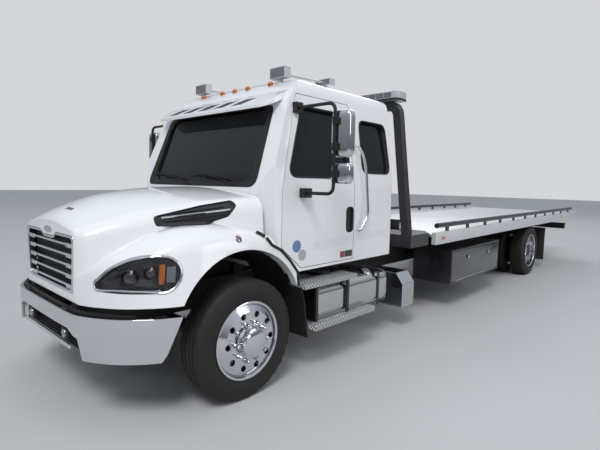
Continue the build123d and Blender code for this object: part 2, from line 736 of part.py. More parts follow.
# Grille: a frame with five bars across it
bar_count = 5
with BuildPart() as grille:
    block((nose_x - 40, nose_x + 5), (-grille_half_width + running_gap, grille_half_width - running_gap),
          (grille_bottom_z + running_gap, grille_top_z - 40 - running_gap))
    block((nose_x - 50, nose_x + 15), (-grille_half_width + 45, grille_half_width - 45),
          (grille_bottom_z + 40, grille_top_z - 80), mode=Mode.SUBTRACT)
    bar_pitch = (grille_top_z - 80 - grille_bottom_z - 40) / (bar_count + 1)
    for index in range(bar_count):
        bar_z = grille_bottom_z + 40 + bar_pitch * (index + 1)
        block((nose_x - 30, nose_x - 5), (-grille_half_width + 40, grille_half_width - 40), (bar_z - 14, bar_z + 14))
pieces["grille"] = grille

with BuildPart() as headlights:
    add(wing_outer)
    side_panel([(front_axle_x + 560, 1075), (front_axle_x + 700, 1160), (front_axle_x + 930, 1000),
                (front_axle_x + 930, 900), (front_axle_x + 760, 925)], (600, wing_half_width), mode=Mode.INTERSECT)
    add(wing_inner, mode=Mode.SUBTRACT)
    mirror(about=Plane.XZ)
with BuildPart() as hood_body:
    add(hood.part)
    add(headlights.part, mode=Mode.SUBTRACT)
    for side in (1, -1):
        block((hood_pivot_x - 20, hood_pivot_x + 15), (side * hood_arm_y[0], side * hood_arm_y[1]),
              (hood_pivot_z - 20, grille_bottom_z + 20))
    bar((hood_pivot_x, -hood_arm_y[1] - 5, hood_pivot_z), (hood_pivot_x, hood_arm_y[1] + 5, hood_pivot_z),
        hood_pin_radius + running_gap, mode=Mode.SUBTRACT)
pieces["hood"] = hood_body
pieces["headlights"] = headlights

# Bumper with its centre opening
bumper_plan = [
    (front_axle_x + front_overhang, 0), (front_axle_x + front_overhang, bumper_kink_y),
    (bumper_end_x, bumper_end_y), (bumper_end_x - 10, bumper_end_y - bumper_wall),
    (front_axle_x + front_overhang - bumper_wall, bumper_kink_y - bumper_wall / 2),
    (front_axle_x + front_overhang - bumper_wall, 0),
]
with BuildPart() as front_bumper:
    with BuildSketch(Plane.XY.offset(bumper_bottom_z)):
        with BuildLine():
            Polyline(*bumper_plan, close=True)
        make_face()
    extrude(amount=bumper_top_z - bumper_bottom_z)
    mirror(about=Plane.XZ)
    front_panel([(-560, 530), (560, 530), (480, 690), (-480, 690)], (front_axle_x + 900, front_axle_x + 1200),
                Mode.SUBTRACT)
pieces["front_bumper"] = front_bumper

with BuildPart() as bumper_mesh:
    front_panel([(-558, 532), (558, 532), (480, 688), (-480, 688)],
                (front_axle_x + front_overhang - bumper_wall, front_axle_x + front_overhang - 15), Mode.ADD)
pieces["bumper_mesh"] = bumper_mesh

# Fuel tank on the driver's side, treatment box on the other, and the steps over both
tank_x = (front_axle_x - 1920, front_axle_x - 800)
tank_y = (560, 1120)
tank_z = (406, 736)
with BuildPart() as fuel_tank:
    block(tank_x, tank_y, tank_z)
    fillet(fuel_tank.edges().filter_by(Axis.X), 90)
pieces["fuel_tank"] = fuel_tank
with BuildPart() as treatment_box:
    block(tank_x, (-tank_y[1], -tank_y[0]), tank_z)
    fillet(treatment_box.edges().filter_by(Axis.X), 40)
pieces["treatment_box"] = treatment_box

with BuildPart() as cab_steps:
    for low_x, high_x, outer_y, step_z in ((-1360, -600, 1155, 790), (-1600, -680, 1205, 435)):
        block((front_axle_x + low_x, front_axle_x + high_x), (outer_y - 60, outer_y), (step_z - 40, step_z))
    for bracket_x in (-900, -1300):
        block((front_axle_x + bracket_x - 15, front_axle_x + bracket_x + 15), (1121, 1150), (400, 760))
        block((front_axle_x + bracket_x - 15, front_axle_x + bracket_x + 15), (rail_outer_y + running_gap, 1150),
              (tank_z[1] + running_gap, tank_z[1] + 20))
    mirror(about=Plane.XZ)
pieces["cab_steps"] = cab_steps

with BuildPart() as battery_box:
    block((front_axle_x - 2480, front_axle_x - 2200), (640, 1150), (270, 640))
    block((front_axle_x - 2400, front_axle_x - 2280), (rail_outer_y + running_gap, 640), (565, 625))
pieces["battery_box"] = battery_box

# Light pylon behind the cab: cross beam, two leaning legs and the arch over them
pylon_x = front_axle_x - 2420
pylon_tube = 50
pylon_foot_y = 1020
pylon_top_y = 890
pylon_top_z = 2560
pylon_base_z = (900, 1050)
with BuildPart() as light_pylon:
    block((pylon_x - 180, pylon_x + 60), (-1150, 1150), pylon_base_z)
    for side in (1, -1):
        bar((pylon_x, side * pylon_foot_y, pylon_base_z[1] - 20), (pylon_x, side * pylon_top_y, pylon_top_z), pylon_tube)
        block((pylon_x - 60, pylon_x + 60), (side * 340, side * 432), (rail_top_z + running_gap, pylon_base_z[0]))
    bar((pylon_x, -pylon_top_y, pylon_top_z), (pylon_x, pylon_top_y, pylon_top_z), pylon_tube)
    with Locations((pylon_x, pylon_top_y, pylon_top_z), (pylon_x, -pylon_top_y, pylon_top_z)):
        Sphere(pylon_tube)
pieces["light_pylon"] = light_pylon

with BuildPart() as warning_lights:
    block((pylon_x - 110, pylon_x + 110), (-940, 940), (pylon_top_z + pylon_tube + running_gap, 2700))
pieces["warning_lights"] = warning_lights

# Toolboxes under the bed, with a door that folds down
toolbox_x = (front_axle_x - 5110, front_axle_x - 3390)
toolbox_y = (640, 1185)
toolbox_z = (352, 807)
toolbox_wall = 25
with BuildPart() as toolboxes:
    block(toolbox_x, toolbox_y, toolbox_z)
    block((toolbox_x[0] + toolbox_wall, toolbox_x[1] - toolbox_wall), (toolbox_y[0] + toolbox_wall, toolbox_y[1] + 10),
          (toolbox_z[0] + toolbox_wall, toolbox_z[1] - toolbox_wall), mode=Mode.SUBTRACT)
    for bracket_x in (toolbox_x[0] + 200, toolbox_x[1] - 200):
        block((bracket_x - 30, bracket_x + 30), (rail_outer_y + running_gap, toolbox_y[0]), (600, 760))
    mirror(about=Plane.XZ)
pieces["toolboxes"] = toolboxes
with BuildPart() as toolbox_door:
    block((toolbox_x[0] + toolbox_wall + 5, toolbox_x[1] - toolbox_wall - 5), (toolbox_y[1] - 30, toolbox_y[1]),
          (toolbox_z[0] + toolbox_wall + 5, toolbox_z[1] - toolbox_wall - 5))
    bar((toolbox_x[0] + 150, toolbox_y[1], toolbox_z[0] + toolbox_wall + 5),
        (toolbox_x[1] - 150, toolbox_y[1], toolbox_z[0] + toolbox_wall + 5), 5 - running_gap)
pieces["toolbox_door_left"] = toolbox_door
pieces["toolbox_door_right"] = mirrored(toolbox_door.part)

# Mudflaps behind the rear wheels and the tail lamp brackets
flap_x = rear_axle_x - 900
with BuildPart() as mudflaps:
    block((flap_x - 6, flap_x + 6), (620, 1190), (180, 830))
    block((flap_x - 25, flap_x + 25), (rail_outer_y + running_gap, 1190), (735, 790))
    mirror(about=Plane.XZ)
pieces["mudflaps"] = mudflaps

# Tilting frame: two rails, cross tubes, pivot ears and the socket of the wheel lift
socket_size = lift_arm_size + 2 * (lift_wall + lift_fit)
socket_top_z = lift_arm_top_z + lift_wall + lift_fit
pad_stations = (tilt_front_x - 120, (tilt_front_x + tilt_rear_x) / 2 + 200, tilt_rear_x + 260)
with BuildPart() as tilt_frame:
    for side in (1, -1):
        block((tilt_rear_x, tilt_front_x), (side * (tilt_rail_outer_y - tilt_rail_width), side * tilt_rail_outer_y),
              (tilt_rail_bottom_z, tilt_rail_top_z))
        # Ears with their pins
        block((tilt_pivot_x - 60, tilt_pivot_x + 60), (side * tilt_ear_y[0], side * tilt_ear_y[1]),
              (tilt_pivot_z - 60, tilt_rail_top_z - 20))
        bar((tilt_pivot_x, side * (tilt_ear_y[0] + 10), tilt_pivot_z), (tilt_pivot_x, side * pivot_plate_y[1], tilt_pivot_z),
            tilt_pin_radius)
        # Brackets beside the eyes of the cylinder rods
        block((rod_pin_x - 55, rod_pin_x + 55),
              (side * (cylinder_y + eye_half_width + 4), side * (tilt_rail_outer_y - tilt_rail_width + 5)),
              (rod_pin_z - 45, tilt_rail_top_z - 20))
        # Wear pads that the bed slides on
        for station in pad_stations:
            block((station - 150, station + 150), (side * (tilt_rail_outer_y - tilt_rail_width), side * tilt_rail_outer_y),
                  (tilt_rail_top_z, sill_bottom_z - running_gap))
    for station in (tilt_front_x - 60, rod_pin_x + 160, tilt_pivot_x + 10):
        block((station - 40, station + 40), (-tilt_rail_outer_y + 5, tilt_rail_outer_y - 5),
              (socket_top_z, tilt_rail_top_z - 20))
    block(lift_socket_x, (-socket_size / 2, socket_size / 2), (socket_top_z - socket_size, socket_top_z))
    block((lift_socket_x[0] - 1, lift_socket_x[1] + 1), (-lift_arm_size / 2 - lift_fit, lift_arm_size / 2 + lift_fit),
          (lift_arm_top_z - lift_arm_size - lift_fit, lift_arm_top_z + lift_fit), mode=Mode.SUBTRACT)
pieces["tilt_frame"] = tilt_frame

# Bed: planked deck, side rails and cross sills over two long beams
with BuildPart() as bed_deck:
    with BuildSketch(Plane.XY.offset(deck_top_z - deck_thickness)):
        with BuildLine():
            Polyline((bed_tail_x + 60, -bed_half_width + bed_rail_width), (bed_tail_x + 60, bed_half_width - bed_rail_width),
                     (bed_front_x, bed_half_width - bed_rail_width), (deck_front_x, bed_half_width - 340),
                     (deck_front_x, -bed_half_width + 340), (bed_front_x, -bed_half_width + bed_rail_width), close=True)
        make_face()
    extrude(amount=deck_thickness)
    side_panel([(bed_front_x, bed_rail_bottom_z), (bed_front_x, bed_rail_top_z), (bed_tail_x, bed_rail_top_z),
                (bed_tail_x, bed_rail_top_z - 40), (bed_bevel_x, bed_rail_bottom_z)],
               (bed_half_width - bed_rail_width, bed_half_width))
    side_panel([(bed_front_x, bed_rail_bottom_z), (bed_front_x, bed_rail_top_z), (bed_tail_x, bed_rail_top_z),
                (bed_tail_x, bed_rail_top_z - 40), (bed_bevel_x, bed_rail_bottom_z)],
               (-bed_half_width, -bed_half_width + bed_rail_width))
    block((bed_tail_x, bed_tail_x + 60), (-bed_half_width, bed_half_width), (deck_top_z - deck_thickness, deck_top_z))
pieces["bed_deck"] = bed_deck

beam_top_z = sill_bottom_z - running_gap
with BuildPart() as bed_beams:
    side_panel([(beam_taper_x, beam_top_z - bed_beam_height), (deck_front_x, beam_top_z - bed_beam_height),
                (deck_front_x, beam_top_z), (bed_bevel_x - 100, beam_top_z)], (bed_beam_y, bed_beam_y + bed_beam_width))
    mirror(about=Plane.XZ)
pieces["bed_beams"] = bed_beams

with BuildPart() as bed_sills:
    sill_pitch = (deck_front_x - 60 - bed_bevel_x - 60) / (sill_count - 1)
    for index in range(sill_count):
        station = bed_bevel_x + 60 + sill_pitch * index
        block((station - 30, station + 30), (-bed_half_width + bed_rail_width + 1, bed_half_width - bed_rail_width - 1),
              (sill_bottom_z, deck_top_z - deck_thickness - running_gap))
pieces["bed_sills"] = bed_sills

with BuildPart() as bed_handrails:
    handrail_y = bed_half_width - handrail_radius
    handrail_rear_x = post_first_x - post_pitch * (post_count - 1) - 300
    bar((handrail_front_x, handrail_y, handrail_z), (handrail_rear_x, handrail_y, handrail_z), handrail_radius)
    for index in range(post_count):
        station = post_first_x - post_pitch * index
        block((station - post_size[0] / 2, station + post_size[0] / 2),
              (handrail_y - post_size[1] / 2, handrail_y + post_size[1] / 2), (bed_rail_top_z + running_gap, handrail_z))
    mirror(about=Plane.XZ)
pieces["bed_handrails"] = bed_handrails

# Winch on the bed's head, ahead of the deck and clear above the tilting frame
winch_base_z = sill_bottom_z + 10
with BuildPart() as winch:
    block((deck_front_x + running_gap, deck_front_x + 30), (-520, 520), (winch_base_z, deck_top_z + 120))
    bar((deck_front_x + 150, -300, deck_top_z + 40), (deck_front_x + 150, 300, deck_top_z + 40), 90)
    for side in (1, -1):
        block((deck_front_x + 20, deck_front_x + 270), (side * 300, side * 330), (winch_base_z, deck_top_z + 150))
pieces["winch"] = winch

# Wheel lift: the sliding arm with its cross bar, stowed under the tail
with BuildPart() as wheel_lift:
    block((lift_bar_x + lift_bar_size / 2 + running_gap, lift_arm_front_x), (-lift_arm_size / 2, lift_arm_size / 2),
          (lift_arm_top_z - lift_arm_size, lift_arm_top_z))
    block((lift_bar_x - lift_bar_size / 2, lift_bar_x + lift_bar_size / 2), (-lift_bar_half_length, lift_bar_half_length),
          (lift_arm_top_z - lift_bar_size, lift_arm_top_z))
    with Locations((lift_bar_x, fork_socket_y, lift_arm_top_z), (lift_bar_x, -fork_socket_y, lift_arm_top_z)):
        Hole(fork_socket_radius)
pieces["wheel_lift"] = wheel_lift

# Tilt cylinders: barrels pinned to the chassis, rods reaching up to the tilting frame
cylinder_run = Vector(rod_pin_x - barrel_pin_x, 0, rod_pin_z - barrel_pin_z)
cylinder_axis = cylinder_run.normalized()
with BuildPart() as tilt_barrels:
    barrel_end = Vector(barrel_pin_x, cylinder_y, barrel_pin_z) + cylinder_axis * barrel_length
    barrel_start = Vector(barrel_pin_x, cylinder_y, barrel_pin_z) + cylinder_axis * barrel_neck
    bar(barrel_start, barrel_end, barrel_radius)
    bar((barrel_pin_x, cylinder_y, barrel_pin_z), barrel_start, eye_half_width - 4)
    bar((barrel_pin_x, cylinder_y - eye_half_width, barrel_pin_z), (barrel_pin_x, cylinder_y + eye_half_width, barrel_pin_z),
        eye_radius)
    bar((barrel_pin_x, cylinder_y, barrel_pin_z), (barrel_pin_x, cylinder_y + eye_half_width + 4 - running_gap, barrel_pin_z),
        cylinder_pin_radius)
    bore_start = Vector(barrel_pin_x, cylinder_y, barrel_pin_z) + cylinder_axis * 120
    bar(bore_start, barrel_end + cylinder_axis * 5, rod_radius + running_gap, mode=Mode.SUBTRACT)
    mirror(about=Plane.XZ)
pieces["tilt_barrels"] = tilt_barrels
with BuildPart() as tilt_rods:
    rod_start = Vector(barrel_pin_x, cylinder_y, barrel_pin_z) + cylinder_axis * 140
    bar(rod_start, (rod_pin_x, cylinder_y, rod_pin_z), rod_radius)
    bar((rod_pin_x, cylinder_y - eye_half_width, rod_pin_z), (rod_pin_x, cylinder_y + eye_half_width, rod_pin_z), eye_radius)
    mirror(about=Plane.XZ)
pieces["tilt_rods"] = tilt_rods

for name, piece in pieces.items():
    piece.part.label = name
    export_step(piece.part, f"parts/{name}.step")
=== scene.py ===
"""Looks of the flatbed tow truck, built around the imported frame.

Metres; +X forward, +Y left, +Z up. Except on the stage, x is written as the distance from the front axle,
which at() and Piece.box() turn into a place. What stands on both sides is made on the left and mirrored.
"""
import json
import math

import bmesh
import bpy
import numpy as np
from mathutils import Matrix, Vector
from mathutils.bvhtree import BVHTree


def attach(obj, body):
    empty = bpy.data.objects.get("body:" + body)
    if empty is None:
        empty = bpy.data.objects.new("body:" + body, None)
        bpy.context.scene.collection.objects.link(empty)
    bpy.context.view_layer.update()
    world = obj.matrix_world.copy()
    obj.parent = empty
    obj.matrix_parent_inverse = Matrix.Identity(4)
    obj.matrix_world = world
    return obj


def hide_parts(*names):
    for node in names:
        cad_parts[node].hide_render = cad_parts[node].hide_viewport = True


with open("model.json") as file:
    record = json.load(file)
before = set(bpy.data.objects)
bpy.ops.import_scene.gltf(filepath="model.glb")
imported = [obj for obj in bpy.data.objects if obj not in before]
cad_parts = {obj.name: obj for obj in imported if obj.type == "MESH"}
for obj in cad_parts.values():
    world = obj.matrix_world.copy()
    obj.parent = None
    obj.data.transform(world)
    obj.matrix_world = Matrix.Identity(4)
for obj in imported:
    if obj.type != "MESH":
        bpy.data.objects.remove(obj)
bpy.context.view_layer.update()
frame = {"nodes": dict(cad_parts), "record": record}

# Stations taken from the model's joints
PIVOTS = {joint["name"]: joint.get("pos_m") for joint in frame["record"]["behaviour"]["joints"]}
FRONT_AXLE_X, FRONT_WHEEL_Y, AXLE_Z = PIVOTS["front_wheel_left_spin"]
REAR_AXLE_X, REAR_WHEEL_Y, _ = PIVOTS["rear_wheels_left_spin"]
REAR = REAR_AXLE_X - FRONT_AXLE_X
TAIL = REAR - 3.34
TURN = 2 * math.pi
DOWN = (0, 0, -1)

# Camera of the photo, solved from the truck's own sizes
CAMERA_PLACE = (2.1032, 3.5846, 1.6491)  # x from the front axle
CAMERA_YAW, CAMERA_PITCH, CAMERA_ROLL = 0.7475, 0.0967, 0.0191
FOCAL_PIXELS, PHOTO_WIDTH, SENSOR_WIDTH = 441.34, 600, 36.0


def link(obj):
    bpy.context.scene.collection.objects.link(obj)
    return obj


def at(x, y, z):
    """A place given by its distance from the front axle."""
    return Vector((FRONT_AXLE_X + x, y, z))


def make_camera():
    forward = Vector((-math.cos(CAMERA_YAW) * math.cos(CAMERA_PITCH),
                      -math.sin(CAMERA_YAW) * math.cos(CAMERA_PITCH),
                      -math.sin(CAMERA_PITCH)))
    right = forward.cross(Vector((0, 0, 1))).normalized()
    up = right.cross(forward)
    rolled_right = math.cos(CAMERA_ROLL) * right + math.sin(CAMERA_ROLL) * up
    rolled_up = -math.sin(CAMERA_ROLL) * right + math.cos(CAMERA_ROLL) * up
    data = bpy.data.cameras.new("photo_camera")
    data.sensor_width = SENSOR_WIDTH
    data.lens = SENSOR_WIDTH * FOCAL_PIXELS / PHOTO_WIDTH
    camera = link(bpy.data.objects.new("photo_camera", data))
    turn = Matrix((rolled_right, rolled_up, -forward)).transposed().to_4x4()
    camera.matrix_world = Matrix.Translation(at(*CAMERA_PLACE)) @ turn
    bpy.context.scene.camera = camera


# Materials
class Nodes:
    """A short way to write the node tree of a material or a world."""

    def __init__(self, name, kind="materials", shader="Principled BSDF"):
        self.owner = getattr(bpy.data, kind).new(name)
        self.owner.use_nodes = True
        self.tree = self.owner.node_tree
        self.shader = self.tree.nodes[shader]

    def add(self, kind, inputs, **settings):
        node = self.tree.nodes.new("ShaderNode" + kind)
        for key, value in settings.items():
            setattr(node, key, value)
        for key, value in inputs.items():
            self.put(node.inputs[key], value)
        return node

    def put(self, socket, value):
        if isinstance(value, bpy.types.NodeSocket):
            self.tree.links.new(value, socket)
        else:
            socket.default_value = value

    def set(self, **values):
        for key, value in values.items():
            self.put(self.shader.inputs[key.replace("_", " ")], value)

    def place(self, kind="Object"):
        return self.add("TexCoord", {}).outputs[kind]

    def axes(self, kind="Object"):
        split = self.add("SeparateXYZ", {"Vector": self.place(kind)})
        return [split.outputs[axis] for axis in "XYZ"]

    def math(self, operation, first, second=0.0):
        return self.add("Math", {0: first, 1: second}, operation=operation).outputs[0]

    def noise(self, scale, detail=3.0, place=None):
        return self.add("TexNoise",
                        {"Vector": place or self.place(), "Scale": scale, "Detail": detail}).outputs["Fac"]

    def span(self, fac, low, high, start=0.0, end=1.0):
        return self.add("MapRange", {"Value": fac, "From Min": start, "From Max": end, "To Min": low,
                                     "To Max": high}).outputs["Result"]

    def mix(self, fac, first, second):
        return self.add("Mix", {0: fac, 6: first, 7: second}, data_type="RGBA").outputs[2]

    def bump(self, height, strength, distance):
        node = self.add("Bump", {"Height": height, "Strength": strength, "Distance": distance})
        self.set(Normal=node.outputs["Normal"])


def rgba(color, share=1.0):
    return (*(c * share for c in color), 1.0)


def finish_of(name, color, rough, metal=0.0, scale=6.0, shade=0.85, bump=0.08, grain=240.0, coat=0.0):
    """A finish with a broad change of shade, a finer change of gloss and a fine grain."""
    n = Nodes(name)
    n.set(Base_Color=n.mix(n.noise(scale, 4.0), rgba(color, shade), rgba(color)), Metallic=metal,
          Roughness=n.span(n.noise(scale * 5, 5.0), *rough))
    if coat:
        n.set(Coat_Weight=coat, Coat_Roughness=0.06)
    n.bump(n.noise(grain, 3.0), bump, 0.001)
    return n.owner


def tread_plate():
    """Bright plate with raised diamonds, with a painted highlight on the diamonds and painted shade on the
    flat between them.
    """
    per_metre, painted_shade_flat, bright = 84.0, (0.16, 0.165, 0.17, 1), (0.84, 0.85, 0.87, 1)
    n = Nodes("tread_plate")
    x, y, z = n.axes()
    across = n.math("ADD", y, z)
    waves = [n.math("SINE", n.math("MULTIPLY", n.math(operation, x, across), per_metre))
             for operation in ("ADD", "SUBTRACT")]
    raised = n.span(n.math("ABSOLUTE", n.math("MULTIPLY", *waves)), 0.0, 1.0, 0.35, 0.6)
    # Painted light: the raised diamonds are coloured bright as a highlight, and the flat between them dark as
    # shade.
    n.set(Base_Color=n.mix(raised, painted_shade_flat, bright), Metallic=0.4, Roughness=n.span(raised, 0.45, 0.22))
    n.bump(raised, 0.9, 0.004)
    return n.owner


def deck_planks():
    """Bright planks that run along the truck, with dark grooves between them."""
    color, pitch, groove = (0.74, 0.75, 0.76), 0.16, 0.006
    n = Nodes("deck_aluminium")
    phase = n.math("FRACT", n.math("DIVIDE", n.math("ADD", n.axes()[1], 50.0), pitch))
    edge = n.math("LESS_THAN", phase, groove / pitch)
    stretched = n.add("Mapping", {"Vector": n.place(), "Scale": (0.6, 9.0, 9.0)}).outputs[0]
    streak = n.noise(3.0, 5.0, stretched)
    n.set(Base_Color=n.mix(edge, n.mix(streak, rgba(color, 0.86), rgba(color)), rgba(color, 0.55)),
          Metallic=0.35, Roughness=n.span(streak, 0.34, 0.5))
    n.bump(n.math("SUBTRACT", n.math("MULTIPLY", streak, 0.1), edge), 0.5, 0.003)
    return n.owner


def body_white():
    """Gloss white with a faint orange peel, and the shallow crease along the doors."""
    crease_x, crease_z, crease_slope, crease_start, crease_end = -0.888, 1.112, -0.042, -0.80, -2.02
    n = Nodes("body_white")
    x, y, z = n.axes()
    n.set(Base_Color=n.mix(n.noise(1.2), (0.80, 0.81, 0.83, 1), (0.84, 0.845, 0.855, 1)),
          Roughness=n.span(n.noise(7.0, 4.0), 0.16, 0.24), Coat_Weight=0.8, Coat_Roughness=0.05)
    along = n.math("SUBTRACT", x, FRONT_AXLE_X + crease_x)
    below = n.math("SUBTRACT", n.math("ADD", n.math("MULTIPLY", along, crease_slope), crease_z), z)
    doors = n.math("MULTIPLY", n.math("LESS_THAN", x, FRONT_AXLE_X + crease_start),
                   n.math("GREATER_THAN", x, FRONT_AXLE_X + crease_end))
    crease = n.math("MULTIPLY", n.span(below, 0.0, 1.0, -0.02, 0.06), doors)
    peel = n.math("MULTIPLY", n.noise(380.0, 2.0), 0.004)
    n.bump(n.math("ADD", n.math("MULTIPLY", crease, -1.0), peel), 0.5, 0.02)
    return n.owner


def tinted(n, color, alpha):
    n.set(Base_Color=color, Roughness=n.span(n.noise(30), 0.02, 0.05), Alpha=alpha, Specular_IOR_Level=0.25,
          Coat_Weight=0.08, Coat_Roughness=0.02)
    return n.owner


def screen_glass():
    """Tinted glass, black round the edge of the windscreen."""
    low, high, foot_half, foot_z, narrowing, screen_rear = 1.70, 2.235, 0.758, 1.64, -0.06, -1.0
    n = Nodes("screen_glass")
    x, y, z = n.axes()
    ahead = n.math("GREATER_THAN", x, FRONT_AXLE_X + screen_rear)
    half = n.math("ADD", n.math("MULTIPLY", n.math("SUBTRACT", z, foot_z), narrowing), foot_half)
    beside = n.math("GREATER_THAN", n.math("ABSOLUTE", y), half)
    above, below = n.math("GREATER_THAN", z, high), n.math("LESS_THAN", z, low)
    edge = n.math("MINIMUM", n.math("ADD", n.math("ADD", beside, above), below), 1.0)
    edge = n.math("MULTIPLY", edge, ahead)
    return tinted(n, n.mix(edge, (0.010, 0.013, 0.015, 1), (0.004, 0.004, 0.004, 1)), n.span(edge, 0.92, 1.0))


def clear_lens():
    n = Nodes("clear_lens")
    n.set(Base_Color=(1, 1, 1, 1), Transmission_Weight=1.0, IOR=1.25,
          Roughness=n.span(n.noise(40), 0.0, 0.02))
    return n.owner


FINISHES = (
    # name, colour, least and most roughness, and what differs from the plain finish
    ("black_paint", (0.016, 0.016, 0.018), (0.25, 0.40), dict(coat=0.3)),
    ("frame_paint", (0.014, 0.014, 0.015), (0.45, 0.70), {}),
    ("spring_steel", (0.05, 0.045, 0.04), (0.45, 0.70), dict(metal=0.6)),
    ("cast_metal", (0.07, 0.07, 0.07), (0.50, 0.80), dict(metal=0.4, bump=0.3)),
    ("chrome", (0.68, 0.69, 0.71), (0.03, 0.09), dict(metal=1.0, shade=0.97, bump=0.01)),
    ("dark_chrome", (0.10, 0.10, 0.11), (0.10, 0.20), dict(metal=0.9, bump=0.02)),
    ("polished_rim", (0.66, 0.67, 0.70), (0.06, 0.14), dict(metal=1.0, shade=0.95, bump=0.01)),
    ("polished_steel", (0.20, 0.20, 0.21), (0.06, 0.14), dict(metal=0.95, bump=0.02, scale=2.0)),
    ("tank_steel", (0.62, 0.62, 0.62), (0.05, 0.12), dict(metal=1.0, shade=0.9, bump=0.01, scale=1.5)),
    ("bright_aluminium", (0.70, 0.71, 0.73), (0.10, 0.20), dict(metal=1.0, bump=0.02)),
    ("tyre", (0.012, 0.012, 0.012), (0.60, 0.85), dict(bump=0.3)),
    ("black_rubber", (0.009, 0.009, 0.009), (0.50, 0.75), {}),
    ("black_plastic", (0.008, 0.008, 0.008), (0.40, 0.60), dict(bump=0.2)),
    ("grey_plastic", (0.05, 0.05, 0.054), (0.50, 0.70), dict(bump=0.25)),
    ("seat_cloth", (0.04, 0.04, 0.045), (0.80, 0.95), dict(bump=0.5, grain=900)),
    ("lamp_black", (0.02, 0.02, 0.022), (0.12, 0.20), dict(coat=0.5)),
    ("lamp_glass", (0.03, 0.03, 0.034), (0.08, 0.16), dict(coat=1.0)),
    ("lamp_shell", (0.50, 0.51, 0.53), (0.25, 0.35), dict(coat=0.4)),
    ("lamp_clear", (0.42, 0.44, 0.48), (0.05, 0.12), dict(metal=0.8, coat=1.0, shade=0.4, scale=40)),
    ("amber", (0.60, 0.14, 0.008), (0.10, 0.20), dict(coat=1.0, shade=0.45, scale=60)),
    ("red", (0.32, 0.01, 0.012), (0.10, 0.20), dict(coat=1.0, shade=0.5, scale=60)),
    ("yellow_green", (0.45, 0.60, 0.05), (0.30, 0.40), {}),
    ("mirror_glass", (0.85, 0.87, 0.90), (0.01, 0.03), dict(metal=1.0, shade=0.98, bump=0.0)),
    ("sticker_blue", (0.17, 0.25, 0.50), (0.30, 0.40), dict(shade=0.7, scale=30)),
    ("sticker_grey", (0.42, 0.45, 0.48), (0.30, 0.40), dict(shade=0.8)),
)
MATERIALS = {name: finish_of(name, color, rough, **more) for name, color, rough, more in FINISHES}
MATERIALS |= {
    "white_paint": body_white(), "deck_aluminium": deck_planks(), "tread_plate": tread_plate(),
    "glass": screen_glass(), "side_glass": tinted(Nodes("side_glass"), (0.010, 0.014, 0.014, 1), 0.92),
    "clear_lens": clear_lens(),
}

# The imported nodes: their finishes and their edges
SLOTS = {row["node"]: row["material_slot"] for row in frame["record"]["subparts"]}
OWN_FINISH = {"door_glass_left": "side_glass", "door_glass_right": "side_glass", "fuel_tank": "tank_steel"}
SOFT_EDGES = {
    # node: width of the rounded edge
    "toolboxes": 0.002, "toolbox_door_left": 0.0025, "toolbox_door_right": 0.0025, "bed_deck": 0.003,
    "bed_beams": 0.003, "tilt_frame": 0.003, "wheel_lift": 0.004, "winch": 0.003, "chassis_frame": 0.003,
    "dashboard": 0.01, "mudflaps": 0.002,
}


def repaint(mesh, rules):
    """Gives faces other materials by where they are and how they face."""
    found = {}
    for polygon in mesh.polygons:
        for material, test in rules:
            if test(polygon.center - Vector((FRONT_AXLE_X, 0, 0)), polygon.normal):
                if material not in found:
                    mesh.materials.append(MATERIALS[material])
                    found[material] = len(mesh.materials) - 1
                polygon.material_index = found[material]
                break


def inside_cab(c, n):
    """Faces that look into the cab."""
    return n.dot(c - Vector((-1.2, 0, 1.75))) < -0.05 and c.z > 0.9


def in_hood(c, n):
    """Faces of the bonnet's inside."""
    return c.x > -0.25 and hood_skin.find_nearest(c + Vector((FRONT_AXLE_X, 0, 0)))[3] > 0.012


def in_door_handle(c, n):
    """Faces of the handle's recess."""
    return -1.39 < c.x < -1.255 and 1.17 < c.z < 1.43 and 1.02 < abs(c.y) < 1.0595


def on_latch(c, n):
    """Faces of the latches that stand out of the toolbox doors."""
    return abs(c.y) > 1.1855


def in_drum(c, n):
    """Faces of the winch's drum between its cheeks."""
    return abs(c.y) < 0.299 and c.x < -2.95


NODE_RULES = {"toolbox_door_left": [("chrome", on_latch)], "toolbox_door_right": [("chrome", on_latch)],
              "winch": [("spring_steel", in_drum)]}


def soften(obj, width, angle):
    """Rounds the edges that are sharper than an angle."""
    soft = obj.modifiers.new("soft", "BEVEL")
    soft.width = width
    soft.segments = 2
    soft.limit_method = "ANGLE"
    soft.angle_limit = math.radians(angle)
    soft.harden_normals = True


for name, obj in frame["nodes"].items():
    mesh = obj.data
    mesh.materials.clear()
    mesh.materials.append(MATERIALS[OWN_FINISH.get(name, SLOTS[name])])
    repaint(mesh, NODE_RULES.get(name, ()))
    mesh.polygons.foreach_set("use_smooth", [True] * len(mesh.polygons))
    obj.modifiers.new("weld", "WELD").merge_threshold = 0.00003
    if name in SOFT_EDGES:
        flat = obj.modifiers.new("flat", "DECIMATE")
        flat.decimate_type = "DISSOLVE"
        flat.angle_limit = math.radians(0.5)
        flat.delimit = {"MATERIAL"}
        soften(obj, SOFT_EDGES[name], 35)
    else:
        obj.modifiers.new("split", "EDGE_SPLIT").split_angle = math.radians(28)


# Outlines
def circle(count, radius=1.0, x=0.0, y=0.0):
    """Points round a circle."""
    angles = [TURN * k / count for k in range(count)]
    return [(x + radius * math.cos(a), y + radius * math.sin(a)) for a in angles]


def line(a, b, steps):
    """Points from one point to another."""
    return [(a[0] + (b[0] - a[0]) * i / steps, a[1] + (b[1] - a[1]) * i / steps) for i in range(steps + 1)]


